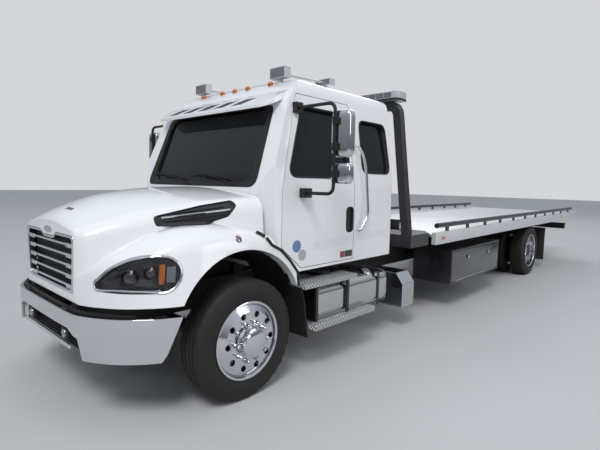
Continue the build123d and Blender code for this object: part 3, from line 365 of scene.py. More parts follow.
def bow(a, b, c, steps):
    """Points on the arc through three points, or on the line where they lie in one."""
    ax, ay, bx, by, cx, cy = *a, *b, *c
    d = 2 * (ax * (by - cy) + bx * (cy - ay) + cx * (ay - by))
    if abs(d) < 1e-7:
        return line(a, c, steps)
    sa, sb, sc = ax * ax + ay * ay, bx * bx + by * by, cx * cx + cy * cy
    ux = (sa * (by - cy) + sb * (cy - ay) + sc * (ay - by)) / d
    uy = (sa * (cx - bx) + sb * (ax - cx) + sc * (bx - ax)) / d
    start, middle, end = [math.atan2(y - uy, x - ux) for x, y in (a, b, c)]
    turn = (end - start) % TURN
    if (middle - start) % TURN > turn:
        turn -= TURN
    radius = math.hypot(ax - ux, ay - uy)
    return [(ux + radius * math.cos(start + turn * i / steps),
             uy + radius * math.sin(start + turn * i / steps))
            for i in range(steps + 1)]


def corner_curve(before, corner, after, cut, steps):
    """Points on the curve that rounds one corner of a path."""
    start, end = [corner + (end - corner).normalized() * cut for end in (before, after)]
    shares = [k / steps for k in range(steps + 1)]
    return [(1 - t) ** 2 * start + 2 * t * (1 - t) * corner + t * t * end for t in shares]


def smooth_corners(points, radii, steps=6):
    """A closed outline with its corners rounded, all by one radius or each by its own."""
    if isinstance(radii, float):
        radii = [radii] * len(points)
    result = []
    for i, (point, radius) in enumerate(zip(points, radii)):
        before, corner, after = Vector(points[i - 1]), Vector(point), Vector(points[(i + 1) % len(points)])
        if not radius:
            result.append(corner)
            continue
        cut = min(radius / math.tan((before - corner).angle(after - corner) / 2),
                  (before - corner).length / 2.01,
                  (after - corner).length / 2.01)
        result += corner_curve(before, corner, after, cut, steps)
    return result


def bent(points, cut):
    """A path with its corners rounded."""
    path = [points[0]]
    for before, corner, after in zip(points, points[1:], points[2:]):
        reach = min(cut, (corner - before).length / 2.1, (after - corner).length / 2.1)
        path += corner_curve(before, corner, after, reach, 5)
    return path + [points[-1]]


def oblong(x, y):
    """The four corners of an oblong."""
    return [(x[0], y[0]), (x[1], y[0]), (x[1], y[1]), (x[0], y[1])]


def ball_box(x, y, z, powers, rows, sides):
    """Rows of a closed form between a ball and a box: at 1 a power gives the ball, near 0 the box."""
    lows, highs = zip(x, y, z)
    centre, half = (Vector(highs) + Vector(lows)) / 2, (Vector(highs) - Vector(lows)) / 2

    def power(value, exponent):
        return math.copysign(abs(value) ** exponent, value)
    rings = []
    for i in range(rows + 1):
        tilt = -math.pi / 2 + math.pi * i / rows
        flat, rise = power(math.cos(tilt), powers[0]), power(math.sin(tilt), powers[1])
        rings.append([centre + Vector((half.x * flat * power(c, powers[1]),
                                       half.y * flat * power(s, powers[1]),
                                       half.z * rise)) for c, s in circle(sides)])
    return rings


# Pieces
class Piece:
    """One piece of dressing, built up from simple forms."""

    def __init__(self):
        self.verts, self.faces = [], []

    def box(self, x, y, z):
        base = len(self.verts)
        self.verts += [(FRONT_AXLE_X + a, b, c) for a in x for b in y for c in z]
        for face in ((0, 1, 3, 2), (4, 6, 7, 5), (0, 4, 5, 1), (2, 3, 7, 6), (0, 2, 6, 4), (1, 5, 7, 3)):
            self.faces.append(tuple(base + i for i in face))
        return self

    def rings(self, rings, loop=False):
        """Skins rows of points, each closed on itself."""
        count, base = len(rings[0]), len(self.verts)
        self.verts += [tuple(p) for ring in rings for p in ring]
        for r in range(len(rings) if loop else len(rings) - 1):
            row, following = base + r * count, base + ((r + 1) % len(rings)) * count
            for i in range(count):
                j = (i + 1) % count
                self.faces.append((row + i, row + j, following + j, following + i))
        if not loop:
            self.faces.append(tuple(base + i for i in reversed(range(count))))
            self.faces.append(tuple(base + (len(rings) - 1) * count + i for i in range(count)))
        return self

    def tube(self, points, radius, facing=(0, 0, 1), sides=10, loop=False):
        """A round tube through a row of points that doesn't run along facing."""
        rows = []
        for i, point in enumerate(points):
            ahead = points[(i + 1) % len(points)] if loop or i < len(points) - 1 else point
            behind = points[i - 1] if loop or i > 0 else point
            run = (ahead - behind).normalized()
            across = run.cross(Vector(facing)).normalized()
            up = across.cross(run)
            rows.append([point + radius * (c * across + s * up) for c, s in circle(sides)])
        return self.rings(rows, loop)

    def turned(self, profile, centre, axis=(0, 1, 0), sides=48, loop=False, notch=None):
        """A form turned about an axis; the profile's rows are radius and distance along the axis."""
        axis = Vector(axis).normalized()
        across = axis.cross(Vector((0.3, 0.1, 1))).normalized()
        up = across.cross(axis)
        rows = []
        for index, (radius, along) in enumerate(profile):
            reach = [radius - (notch(index, k) if notch else 0.0) for k in range(sides)]
            rows.append([centre + axis * along + r * (c * across + s * up)
                         for r, (c, s) in zip(reach, circle(sides))])
        return self.rings(rows, loop)

    def slab(self, outline, depth):
        """A plate from an outline of places, made thick along a vector."""
        return self.rings([outline, [p + Vector(depth) for p in outline]])

    def cloth(self, grid, depth):
        """A curved plate from rows of places, made thick along a vector."""
        rows, columns, base = len(grid), len(grid[0]), len(self.verts)
        for layer in (Vector((0, 0, 0)), Vector(depth)):
            self.verts += [tuple(p + layer) for row in grid for p in row]
        top = rows * columns
        for r in range(rows - 1):
            for c in range(columns - 1):
                a, b = base + r * columns + c, base + (r + 1) * columns + c
                self.faces += [(a, a + 1, b + 1, b), (a + top, b + top, b + 1 + top, a + 1 + top)]
        rim = [r * columns for r in range(rows)] + [(rows - 1) * columns + c for c in range(1, columns)]
        rim += [r * columns + columns - 1 for r in range(rows - 2, -1, -1)] + list(range(columns - 2, 0, -1))
        for a, b in zip(rim, rim[1:] + rim[:1]):
            self.faces.append((base + a, base + b, base + b + top, base + a + top))
        return self

    def join(self, other):
        base = len(self.verts)
        self.verts += other.verts
        self.faces += [tuple(base + i for i in face) for face in other.faces]
        return self

    def mirror(self):
        """Adds the same forms on the other side of the truck."""
        base = len(self.verts)
        self.verts += [(x, -y, z) for x, y, z in self.verts]
        self.faces += [tuple(base + i for i in reversed(face)) for face in list(self.faces)]
        return self

    def solid(self, name, flip=False):
        """The piece as an object with its faces turned outward."""
        mesh = bpy.data.meshes.new(name)
        mesh.from_pydata([(x, -y, z) for x, y, z in self.verts] if flip else self.verts, [], self.faces)
        work = bmesh.new()
        work.from_mesh(mesh)
        bmesh.ops.recalc_face_normals(work, faces=work.faces)
        work.to_mesh(mesh)
        work.free()
        return link(bpy.data.objects.new(name, mesh))

    def finish(self, name, body, material, slot=None, both=False, flip=False, bevel=0.0, angle=35,
               replaces=()):
        if both:
            self.mirror()
        obj = self.solid(name, flip)
        dress(obj, name, body, material, bevel, replaces, angle)
        return obj


def dress(obj, name, body, material, bevel=0.0, replaces=(), angle=32, rules=()):
    """Gives a finished form its name, its body, its materials and its edges."""
    obj.name = name
    mesh = obj.data
    mesh.materials.clear()
    mesh.materials.append(MATERIALS[material])
    repaint(mesh, rules)
    mesh.polygons.foreach_set("use_smooth", [True] * len(mesh.polygons))
    if bevel:
        soften(obj, bevel, angle)
    else:
        mesh.set_sharp_from_angle(angle=math.radians(angle))
    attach(obj, body)
    if replaces:
        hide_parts(*replaces)


def twins(name, body, material, build, slot=None, replaces=(), **style):
    """The same piece on both sides, each on its own body, with {} for the side."""
    for side in ("left", "right"):
        piece = Piece()
        build(piece)
        piece.finish(f"{name}_{side}", body.format(side), material, slot, flip=side == "right",
                     replaces=[node.format(side) for node in replaces], **style)


def hit(tree, start, direction, lift=0.0):
    """The place where a line from start meets a surface, lifted off it."""
    direction = Vector(direction).normalized()
    return tree.ray_cast(start, direction)[0] - direction * lift


def skin_of(obj):
    """An object's surface, to seat pieces on."""
    mesh = obj.data
    return BVHTree.FromPolygons([v.co.copy() for v in mesh.vertices],
                                [tuple(p.vertices) for p in mesh.polygons])


def carve(obj, tool, operation="DIFFERENCE"):
    """Cuts an object with a piece, or keeps what both share."""
    cutter = tool.solid("cutter")
    step = obj.modifiers.new("carve", "BOOLEAN")
    step.object = cutter
    step.operation = operation
    step.solver = "EXACT"
    bpy.context.view_layer.update()
    made = bpy.data.meshes.new_from_object(obj.evaluated_get(bpy.context.evaluated_depsgraph_get()))
    obj.modifiers.clear()
    spent = obj.data
    obj.data = made
    bpy.data.meshes.remove(spent)
    bpy.data.objects.remove(cutter)


def twin(obj):
    """The same object on the other side of the truck."""
    copy = link(bpy.data.objects.new(obj.name, obj.data.copy()))
    for vertex in copy.data.vertices:
        vertex.co.y = -vertex.co.y
    copy.data.flip_normals()
    return copy


def as_piece(obj):
    """An object's geometry as a piece, to cut with."""
    piece = Piece()
    piece.verts = [tuple(v.co) for v in obj.data.vertices]
    piece.faces = [tuple(p.vertices) for p in obj.data.polygons]
    bpy.data.objects.remove(obj)
    return piece


def prism(outline, plane, span):
    """A piece with a flat outline: (x, z) for plane y, (y, z) for plane x and (x, y) for plane z."""
    order = {"x": lambda reach, a, b: at(reach, a, b), "y": lambda reach, a, b: at(a, reach, b),
             "z": lambda reach, a, b: at(a, b, reach)}[plane]
    return Piece().rings([[order(reach, a, b) for a, b in outline] for reach in span])


def through_sides(outline, near, far):
    """A cutter through both sides of the truck."""
    return prism(outline, "y", (near, far)).join(prism(outline, "y", (-far, -near)))


def both_halves(rows):
    """Rows from the middle of the truck outward, with the other half before them."""
    return [[Vector((p.x, -p.y, p.z)) for p in row] for row in rows[:0:-1]] + rows


# Cab: a cross section, a side outline and a plan cut with one another
CAB_WALL = 0.048
CAB_HALF, CAB_EAVE, CAB_LOW, BELT_Z, EAVE_Z, ROOF_Z = 1.06, 0.93, 0.89, 1.58, 2.53, 2.625
CAB_FRONT, CAB_REAR, SCREEN_FOOT_Z, SCREEN_LEAN = -0.27, -2.1, 1.57, 0.29 / 0.77
DOOR = [(-0.405, 1.105), (-0.405, 1.580), (-0.650, 2.400), (-1.392, 2.400), (-1.392, 0.915), (-0.640, 0.915)]
DOOR_GAP = 0.005
DOOR_WINDOW, DOOR_WINDOW_CORNER = [(-0.489, 1.692), (-0.713, 2.298), (-1.332, 2.298), (-1.332, 1.692)], 0.075
DOOR_HANDLE = oblong((-1.385, -1.262), (1.178, 1.425))
QUARTER_WINDOW, QUARTER_CORNER = [(-1.542, 1.752), (-1.542, 2.268), (-2.009, 2.268), (-2.048, 1.752)], 0.085
SCREEN, SCREEN_CORNER = [(-0.772, 1.642), (0.772, 1.642), (0.756, 2.286), (-0.756, 2.286)], 0.10
BACK_WINDOW, BACK_WINDOW_CORNER = oblong((-0.598, 0.598), (1.802, 2.218)), 0.08


def cab_form(inset):
    """The whole cab as one closed body, drawn in by a thickness."""
    low, half, eave, eave_z = CAB_LOW + inset, CAB_HALF - inset, CAB_EAVE - inset, EAVE_Z - inset * 0.6
    front, rear, top = CAB_FRONT - inset, CAB_REAR + inset, ROOF_Z + 0.001 - inset
    crown = bow((eave, eave_z), (0, ROOF_Z - inset), (-eave, eave_z), 4)[1:-1]
    cross = [(-half, low), (half, low), (half, BELT_Z), (eave, eave_z), *crown,
             (-eave, eave_z), (-half, BELT_Z)]
    radii = [0, 0, 0, 0.13] + [0.3] * len(crown) + [0.13, 0]
    form = prism(smooth_corners(cross, radii), "x", (-2.2, -0.2)).solid("cab")
    brow = bow((-0.5312 - inset * 0.94, 2.2634 - inset * 0.35),
               (-0.7525 - inset * 0.5, 2.5265 - inset * 0.85),
               (-1.0553, top), 14)
    back = smooth_corners([brow[-1], (rear, top), (rear, low), (front, low), (front, SCREEN_FOOT_Z)],
                          (0, 0.11, 0, 0, 0))
    carve(form, prism(brow + back[1:], "y", (-1.2, 1.2)), "INTERSECT")
    cowl, cheek_x = 0.86 - inset * 0.6, -0.375 - inset * 0.6
    plan = smooth_corners([(front, -cowl), (front, cowl), (cheek_x, half), (rear, half), (rear, -half),
                           (cheek_x, -half)], (0.15, 0.15, 0.09, 0.06, 0.06, 0.09))
    carve(form, prism(plan, "z", (0.8, 2.8)), "INTERSECT")
    return form


ARCH_X, ARCH_Z, ARCH_RADIUS = 0.035, 0.550, 0.600


def arch(radius):
    """The round wheel arches, right across the truck."""
    return prism(circle(96, radius, ARCH_X, ARCH_Z), "y", (-1.3, 1.3))


def shrunk(outline, amount):
    """An outline drawn in towards its middle by about an amount."""
    middle = sum((Vector(p) for p in outline), Vector((0, 0))) / len(outline)
    return [(x - math.copysign(amount, x - middle.x), z - math.copysign(amount, z - middle.y))
            for x, z in outline]


cab = cab_form(0.0)
cab_skin = skin_of(cab)
carve(cab, as_piece(cab_form(CAB_WALL)))
door = link(bpy.data.objects.new("door", cab.data.copy()))
carve(cab, through_sides(smooth_corners(DOOR, 0.03), 0.5, 1.11))
carve(cab, prism(smooth_corners(QUARTER_WINDOW, QUARTER_CORNER), "y", (-1.2, 1.2))
      .join(prism(smooth_corners(SCREEN, SCREEN_CORNER), "x", (-1.1, 0.0)))
      .join(prism(smooth_corners(BACK_WINDOW, BACK_WINDOW_CORNER), "x", (-2.3, -1.9))))
carve(cab, arch(ARCH_RADIUS + 0.01))
dress(cab, "cab_body", "chassis", "white_paint", bevel=0.003, replaces=["cab_shell"],
      rules=[("grey_plastic", inside_cab)])
carve(door, prism(smooth_corners(shrunk(DOOR, DOOR_GAP), 0.026), "y", (0.5, 1.11)), "INTERSECT")
carve(door, prism(smooth_corners(DOOR_WINDOW, DOOR_WINDOW_CORNER), "y", (0.5, 1.2)))
carve(door, prism(smooth_corners(DOOR_HANDLE, 0.05), "y", (1.038, 1.1)))
for side, panel in (("left", door), ("right", twin(door))):
    dress(panel, f"door_panel_{side}", f"door_{side}", "white_paint", bevel=0.003, replaces=[f"door_{side}"],
          rules=[("grey_plastic", inside_cab), ("black_plastic", in_door_handle)])

# Bonnet: six stations, faired from one to the next
HOOD_WALL = 0.034
HOOD_STATIONS = (
    # distance from the front axle, height of the crown's middle, then half width and height at the
    # crown's edge, the shoulder's middle, the shoulder, the valley, and the wing's crest, edge and foot
    (-0.258, 1.592, (0.868, 1.536), (0.950, 1.500), (0.985, 1.430), (1.003, 1.226),
     (1.072, 1.222), (1.140, 1.158), (1.160, 0.850)),
    (0.150, 1.576, (0.745, 1.497), (0.815, 1.462), (0.846, 1.392), (0.856, 1.322),
     (0.985, 1.322), (1.125, 1.222), (1.188, 0.850)),
    (0.560, 1.526, (0.590, 1.436), (0.660, 1.400), (0.700, 1.332), (0.706, 1.272),
     (0.860, 1.290), (1.055, 1.200), (1.150, 0.838)),
    (0.830, 1.440, (0.500, 1.362), (0.570, 1.335), (0.610, 1.280), (0.620, 1.140),
     (0.725, 1.160), (0.870, 1.095), (0.935, 0.824)),
    (0.940, 1.385, (0.455, 1.325), (0.520, 1.300), (0.560, 1.255), (0.568, 1.030),
     (0.618, 1.045), (0.665, 1.010), (0.685, 0.806)),
    (0.985, 1.345, (0.420, 1.303), (0.475, 1.288), (0.505, 1.248), (0.505, 0.990),
     (0.508, 0.970), (0.510, 0.940), (0.512, 0.797)),
)
# How far each point is drawn in sideways and down, as shares of the wall
WALL_DRAW = ((0.4, 1.0), (1.0, 0.4), (1.0, 0.4), (1.0, 1.0), (0.0, 1.0), (0.7, 0.7), (1.0, 0.0))
# The nose rolls in: distance from the front axle, and how far each point is drawn towards the middle
NOSE_ROLL = ((0.9835, 0.003), (0.9865, 0.008), (0.988, 0.016))
NOSE_MIDDLE_Z, NOSE_HALF = 1.06, 0.35


def hood_outline(crown, points, inset, drop):
    """Half a cross section of the bonnet, drawn in by a thickness."""
    drawn = [(y - inset * a, z - inset * b) for (y, z), (a, b) in zip(points, WALL_DRAW)]
    edge, middle, shoulder, valley, crest, wing_edge, foot = drawn
    foot = (foot[0], foot[1] - drop)
    half = bow((-edge[0], edge[1]), (0, crown - inset), edge, 20)[10:]
    half += bow(edge, middle, shoulder, 6)[1:] + line(shoulder, valley, 4)[1:]
    half += bow(valley, crest, wing_edge, 12)[1:] + line(wing_edge, foot, 6)[1:]
    return np.array(half)


def faired(stations, rows, x):
    """Rows between stations by a smooth curve through them."""
    k = min(max(int(np.searchsorted(stations, x)) - 1, 0), len(stations) - 2)

    def slope(i):
        a, b = max(i - 1, 0), min(i + 1, len(stations) - 1)
        return (rows[b] - rows[a]) / (stations[b] - stations[a])
    width = stations[k + 1] - stations[k]
    t = (x - stations[k]) / width
    return ((2 * t ** 3 - 3 * t ** 2 + 1) * rows[k] + (t ** 3 - 2 * t ** 2 + t) * width * slope(k)
            + (3 * t ** 2 - 2 * t ** 3) * rows[k + 1] + (t ** 3 - t ** 2) * width * slope(k + 1))


def hood_form(inset):
    """The bonnet with its wings as one closed form; drawn in by a wall, it reaches out below and behind."""
    stations = [row[0] for row in HOOD_STATIONS]
    rows = [hood_outline(row[1], row[2:], inset, 0.1 if inset else 0.0) for row in HOOD_STATIONS]

    def whole(x, half):
        return [at(x, y, z) for y, z in half] + [at(x, -y, z) for y, z in half[:0:-1]]
    reach = [stations[0] - (0.02 if inset else 0.0), *np.linspace(stations[0] + 0.02, 0.93, 44),
             0.945, 0.958, 0.970, 0.978]
    rings = [whole(x - inset * (x > 0.9), faired(stations, rows, max(x, stations[0]))) for x in reach]
    for x, pull in NOSE_ROLL:
        half = rows[-1] - (rows[-1] - np.array((0.0, NOSE_MIDDLE_Z))) * pull / NOSE_HALF
        half[0][0] = 0.0
        rings.append(whole(x - inset, half))
    return Piece().rings(rings)


GRILLE = [(-0.455, 0.858), (0.455, 0.858), (0.488, 1.262), (0.160, 1.262), (0.090, 1.230), (-0.090, 1.230),
          (-0.160, 1.262), (-0.488, 1.262)]
GRILLE_LINE = smooth_corners(GRILLE, (0.046, 0.046, 0.046, 0.05, 0.05, 0.05, 0.05, 0.046))
VENT_LINE = smooth_corners([(0.515, 1.314), (0.530, 1.385), (0.195, 1.463), (-0.048, 1.502), (-0.064, 1.462),
                            (0.010, 1.376), (0.110, 1.345), (0.220, 1.330)],
                           [0.030, 0.045, 0.08, 0.030, 0.030, 0.05, 0.08, 0.08], 4)
LAMP_LINE = ([(-0.160, 0.913)] + bow((0.260, 0.920), (0.372, 0.959), (0.400, 1.030), 6)
             + bow((0.400, 1.030), (0.372, 1.118), (0.270, 1.162), 6)[1:]
             + bow((0.270, 1.162), (0.040, 1.134), (-0.160, 1.000), 12)[1:]
             + bow((-0.160, 1.000), (-0.192, 0.948), (-0.160, 0.913), 6)[1:-1])
LAMP_OUT = Vector((1, 1, 0)).normalized()
LAMP_ALONG = Vector((-1, 1, 0)).normalized()
WING_TAIL = [(-0.205, 1.160), (-0.310, 1.117), (-0.413, 1.026), (-0.510, 0.914), (-0.525, 0.800),
             (-0.430, 0.800), (-0.205, 1.110)]


def lamp_place(u, v, depth):
    """A place by the headlight's own outline and its distance out of that outline's plane."""
    return at(0.5, 0.5, 0) + LAMP_ALONG * u + Vector((0, 0, v)) + LAMP_OUT * depth


hood = hood_form(0.0).solid("hood")
hood_skin = skin_of(hood)
lamp_cut = Piece().rings([[lamp_place(u, v, depth) for u, v in LAMP_LINE] for depth in (0.0, 1.0)])
for tool in (hood_form(HOOD_WALL), prism(GRILLE_LINE, "x", (0.78, 1.04)), lamp_cut.mirror(),
             through_sides(VENT_LINE, 0.5, 0.94), arch(ARCH_RADIUS)):
    carve(hood, tool)
dress(hood, "hood_body", "hood", "white_paint", replaces=["hood"], angle=38,
      rules=[("black_plastic", in_hood)])
tail = prism(WING_TAIL, "y", (1.072, 1.146)).solid("tail")
carve(tail, arch(ARCH_RADIUS))
for side, form in (("left", tail), ("right", twin(tail))):
    dress(form, f"wing_tail_{side}", "hood", "white_paint", bevel=0.012)

# Grille: a bright frame with a dip in its top and five stepped bars
FRAME_REAR, FRAME_FRONT, BAR_REAR = 0.946, 0.992, 0.952
inner = [(y - math.copysign(0.024 * min(1, abs(y) / 0.40), y), z - math.copysign(0.022, z - NOSE_MIDDLE_Z))
         for y, z in GRILLE_LINE]
outer = [p - (p - Vector((0, NOSE_MIDDLE_Z))).normalized() * 0.001 for p in GRILLE_LINE]
Piece().rings([[at(x, y, z) for y, z in edge] for x, edge in
               ((FRAME_FRONT, outer), (FRAME_FRONT, inner), (FRAME_REAR, inner), (FRAME_REAR, outer))],
              loop=True).finish("grille_frame", "hood", "chrome", bevel=0.006, replaces=["grille"])
bars = Piece()
for k in range(5):
    z = 0.858 + 0.0721 * (k + 0.55)
    half = 0.436 + 0.033 * (z - 0.858) / 0.404
    for ends, front, rise in (((-half, half), 0.974, 0.010), ((-half, -half + 0.13), 0.984, 0.017),
                              ((half - 0.13, half), 0.984, 0.017)):
        bars.box((BAR_REAR, front), ends, (z - rise, z + rise))
bars.finish("grille_bars", "hood", "chrome", bevel=0.005)

# Headlights: a chrome bezel, a dark bowl, two projectors and a clear lens
LAMP_MIDDLE = Vector((0.13, 1.035))
LAMP_BEZEL = (
    # drawn in from the outline, lifted off the skin
    (-0.0010, -0.030), (-0.0010, 0.002), (0.004, 0.0075), (0.012, 0.0070), (0.0190, -0.002), (0.0200, -0.030),
)
PROJECTOR_AXIS = (0.85, 0.52, 0.0)


def lamp_surface(u, v, lift=0.0):
    """A place on the wing's skin by the headlight's outline."""
    return hit(hood_skin, lamp_place(u, v, 1.2), -LAMP_OUT) + LAMP_OUT * lift


def drawn_in(amount):
    """The headlight's outline drawn in by an amount."""
    edge = [Vector(p) for p in LAMP_LINE]
    runs = [(following - before).normalized()
            for before, following in zip(edge[-1:] + edge, edge[1:] + edge[:1])]
    return [p + Vector((-run.y, run.x)) * amount for p, run in zip(edge, runs)]


def lamp_sheet(lifts, reach):
    """A closed plate over the headlight's opening: rows from the middle out, then back on the other side."""
    near, far = [[[lamp_surface(*(LAMP_MIDDLE + (p - LAMP_MIDDLE) * share), lift) for p in drawn_in(0.010)]
                  for share in (0.02, 0.2, 0.4, 0.6, 0.8, 0.92, reach)] for lift in lifts]
    return Piece().rings(near + far[::-1])


def lamp_tile(piece, u_range, v_range, lift, steps=5):
    """A small curved plate set in behind the headlight's lens."""
    grid = [[lamp_surface(u, v, lift) for _, v in line((0, v_range[0]), (0, v_range[1]), steps)]
            for u, _ in line((u_range[0], 0), (u_range[1], 0), steps)]
    return piece.cloth(grid, -LAMP_OUT * 0.01)


Piece().rings([[lamp_surface(*p, lift) for p in drawn_in(amount)] for amount, lift in LAMP_BEZEL],
              loop=True).finish("headlight_bezels", "hood", "chrome", "lamp_glass", both=True, angle=50,
                                replaces=["headlights"])
lamp_sheet((-0.052, -0.062), 1.0).finish(
    "headlight_bowls", "hood", "lamp_black", "lamp_glass", both=True, angle=50)
lamp_sheet((-0.003, -0.006), 0.985).finish("headlight_lenses", "hood", "clear_lens", both=True, angle=50)
for u, v, radius, label in ((0.057, 1.01, 0.054, "low"), (0.190, 1.04, 0.044, "high")):
    centre, bore = lamp_surface(u, v, -0.040), radius - 0.010
    ring = [(radius, -0.012), (radius, 0.012), (radius - 0.006, 0.016), (bore, 0.006), (bore, -0.012)]
    eye = [(bore, -0.010), (bore, 0.002), (radius * 0.6, 0.012), (radius * 0.25, 0.017), (0.001, 0.018)]
    Piece().turned(ring, centre, PROJECTOR_AXIS, 40, loop=True).finish(
        f"headlight_ring_{label}", "hood", "dark_chrome", both=True)
    Piece().turned(eye, centre, PROJECTOR_AXIS, 40).finish(
        f"headlight_eye_{label}", "hood", "lamp_glass", both=True, angle=60)
for name, finish, u_range, v_range, lift in (
        ("headlight_ambers", "amber", (0.252, 0.286), (0.975, 1.100), -0.022),
        ("headlight_reflectors", "lamp_clear", (0.296, 0.350), (0.985, 1.085), -0.026)):
    lamp_tile(Piece(), u_range, v_range, lift).finish(name, "hood", finish, both=True)
ribs = Piece()
for k in range(11):
    u = -0.135 + k * 0.013
    lamp_tile(ribs, (u, u + 0.005), (0.935, min(0.975 + (u + 0.14) * 0.55, 1.03)), -0.030, 2)
ribs.finish("headlight_ribs", "hood", "dark_chrome", both=True)

# Side vents: a dark recess with two louvres and a bright strip
VENT_MIDDLE = Vector((0.19, 1.405))
VENT_FRONT, VENT_LENGTH = 0.56, 0.65


def vent_place(x, z, lift):
    return hit(hood_skin, at(x, 1.3, z), (0, -1, 0)) + Vector((0, lift, 0))


def vent_line(front_z, rear_z, front, length, steps, lift):
    """Places on a line inside the vent's recess; its heights are those at the vent's front and rear."""
    reach = [front - length * k / steps for k in range(steps + 1)]
    return [vent_place(x, front_z + (rear_z - front_z) * (VENT_FRONT - x) / VENT_LENGTH, lift) for x in reach]


VENT_RECESS = ((0.02, -0.018), (0.5, -0.018), (0.92, -0.018), (0.94, -0.002), (0.995, -0.002), (0.995, -0.03))
Piece().rings([[vent_place(*(VENT_MIDDLE + (p - VENT_MIDDLE) * share), lift) for p in VENT_LINE]
               for share, lift in VENT_RECESS]).finish(
    "hood_vents_black", "hood", "lamp_black", "black_plastic", both=True, angle=40)
louvres = Piece()
for front_z, rear_z in ((1.338, 1.410), (1.386, 1.466)):
    louvres.tube(vent_line(front_z, rear_z, 0.45, 0.42, 8, -0.009), 0.004, sides=6)
louvres.finish("vent_louvres", "hood", "black_plastic", both=True)
Piece().tube(vent_line(1.366, 1.442, 0.470, 0.48, 10, -0.006), 0.0085, sides=8).finish(
    "vent_strips", "hood", "chrome", "black_plastic", both=True)

# Bumper: bowed across the front, curved round to slanted ends and cut away in the middle
BUMPER_WALL, BUMPER_X, BUMPER_LOW, BUMPER_TOP = 0.024, 1.046, 0.450, 0.750
MESH_X, MESH_HALF = (0.966, 0.972), 0.60
bumper_path = ([(BUMPER_X - 0.008 * (y / 0.56) ** 2, y) for y in np.linspace(0, 0.56, 9)]
               + bow((BUMPER_X - 0.008, 0.560), (0.848, 0.902), (0.534, 1.095), 22)[1:])
bumper_rows = []
for i, (x, y) in enumerate(bumper_path):
    ahead, behind = bumper_path[min(i + 1, len(bumper_path) - 1)], bumper_path[max(i - 1, 0)]
    run = Vector((ahead[0] - behind[0], ahead[1] - behind[1])).normalized()
    inward = Vector((-run.y, run.x)) * BUMPER_WALL
    inward = inward if inward.x < 0 or i == len(bumper_path) - 1 else -inward
    low = BUMPER_LOW + max(0.0, (0.650 - x) / 0.116) * 0.292
    bumper_rows.append([at(x, y, low), at(x, y, BUMPER_TOP), at(x + inward.x, y + inward.y, BUMPER_TOP),
                        at(x + inward.x, y + inward.y, low)])
bumper = Piece().rings(both_halves(bumper_rows)).solid("bumper")
carve(bumper, prism([(-0.644, 0.440), (0.644, 0.440), (0.600, 0.590), (0.470, 0.637), (-0.470, 0.637),
                     (-0.600, 0.590)], "x", (0.8, 1.1)))
dress(bumper, "bumper_shell", "chassis", "chrome", bevel=0.005, replaces=["front_bumper"], angle=40)
Piece().box((BUMPER_X - 0.030, BUMPER_X - 0.015), (-0.475, 0.475), (0.490, 0.520)).finish(
    "bumper_strip", "chassis", "chrome", bevel=0.004)
Piece().box((MESH_X[0] - 0.004, MESH_X[0]), (-MESH_HALF, MESH_HALF), (0.470, 0.70)).finish(
    "bumper_screen", "chassis", "black_plastic", replaces=["bumper_mesh"])
wires = Piece()
for y in [k * 0.027 for k in range(-22, 23)]:
    wires.box(MESH_X, (y - 0.002, y + 0.002), (0.472, 0.690))
for z in [0.478 + k * 0.025 for k in range(9)]:
    wires.box(MESH_X, (-MESH_HALF, MESH_HALF), (z - 0.002, z + 0.002))
wires.finish("bumper_wires", "chassis", "frame_paint", "black_plastic")
Piece().box((0.972, 1.018), (0.290, 0.410), (0.530, 0.606)).finish(
    "fog_lamp_cases", "chassis", "black_plastic", "lamp_glass", both=True, bevel=0.008)
fog_face = [(0.032, 0.0), (0.032, 0.008), (0.024, 0.013), (0.001, 0.015)]
Piece().turned(fog_face, at(1.016, 0.35, 0.568), (1, 0, 0), 32).finish(
    "fog_lamp_faces", "chassis", "lamp_clear", both=True, angle=60)
# The black strip behind the bumper's top is mostly painted shade of the gap under the bonnet, with a little
# real black filler.
FILLER_AND_GAP_SHADE = ((0.030, 0.70), (0.030, 0.772), (0.045, 0.772), (0.045, 0.70))  # distance behind the bumper, height
filler_and_shade_rows = [[at(x - d, y * (1 - d * 0.8), z) for d, z in FILLER_AND_GAP_SHADE] for x, y in bumper_path[:22]]
Piece().rings(both_halves(filler_and_shade_rows)).finish("bumper_filler", "chassis", "black_plastic", angle=40)

# Visor over the windscreen, with dark slots in its brow
VISOR = [(-0.68, 2.455), (-0.53, 2.370), (-0.395, 2.288), (-0.400, 2.264), (-0.55, 2.332), (-0.70, 2.40)]
VISOR_HALF = 0.88
visor = prism(VISOR, "y", (-VISOR_HALF, VISOR_HALF)).solid("visor")
visor_plan = smooth_corners(oblong((-1.1, -0.395), (-VISOR_HALF, VISOR_HALF)), (0, 0.15, 0.15, 0), 8)
carve(visor, prism(visor_plan, "z", (1.6, 2.7)), "INTERSECT")
visor_skin = skin_of(visor)
dress(visor, "visor_panel", "chassis", "white_paint", bevel=0.004, replaces=["sun_visor"])
slits = Piece()
for start in (-0.62, -0.36, -0.10, 0.16, 0.42):
    above = [[at(-0.56 + 0.035 * i, start + 0.045 * j - 0.030 * i, 2.8) for j in range(4)] for i in range(4)]
    slits.cloth([[hit(visor_skin, place, DOWN, 0.0004) for place in row] for row in above],
                (0.0004, 0, 0.0012))
slits.finish("visor_slots", "chassis", "black_plastic")

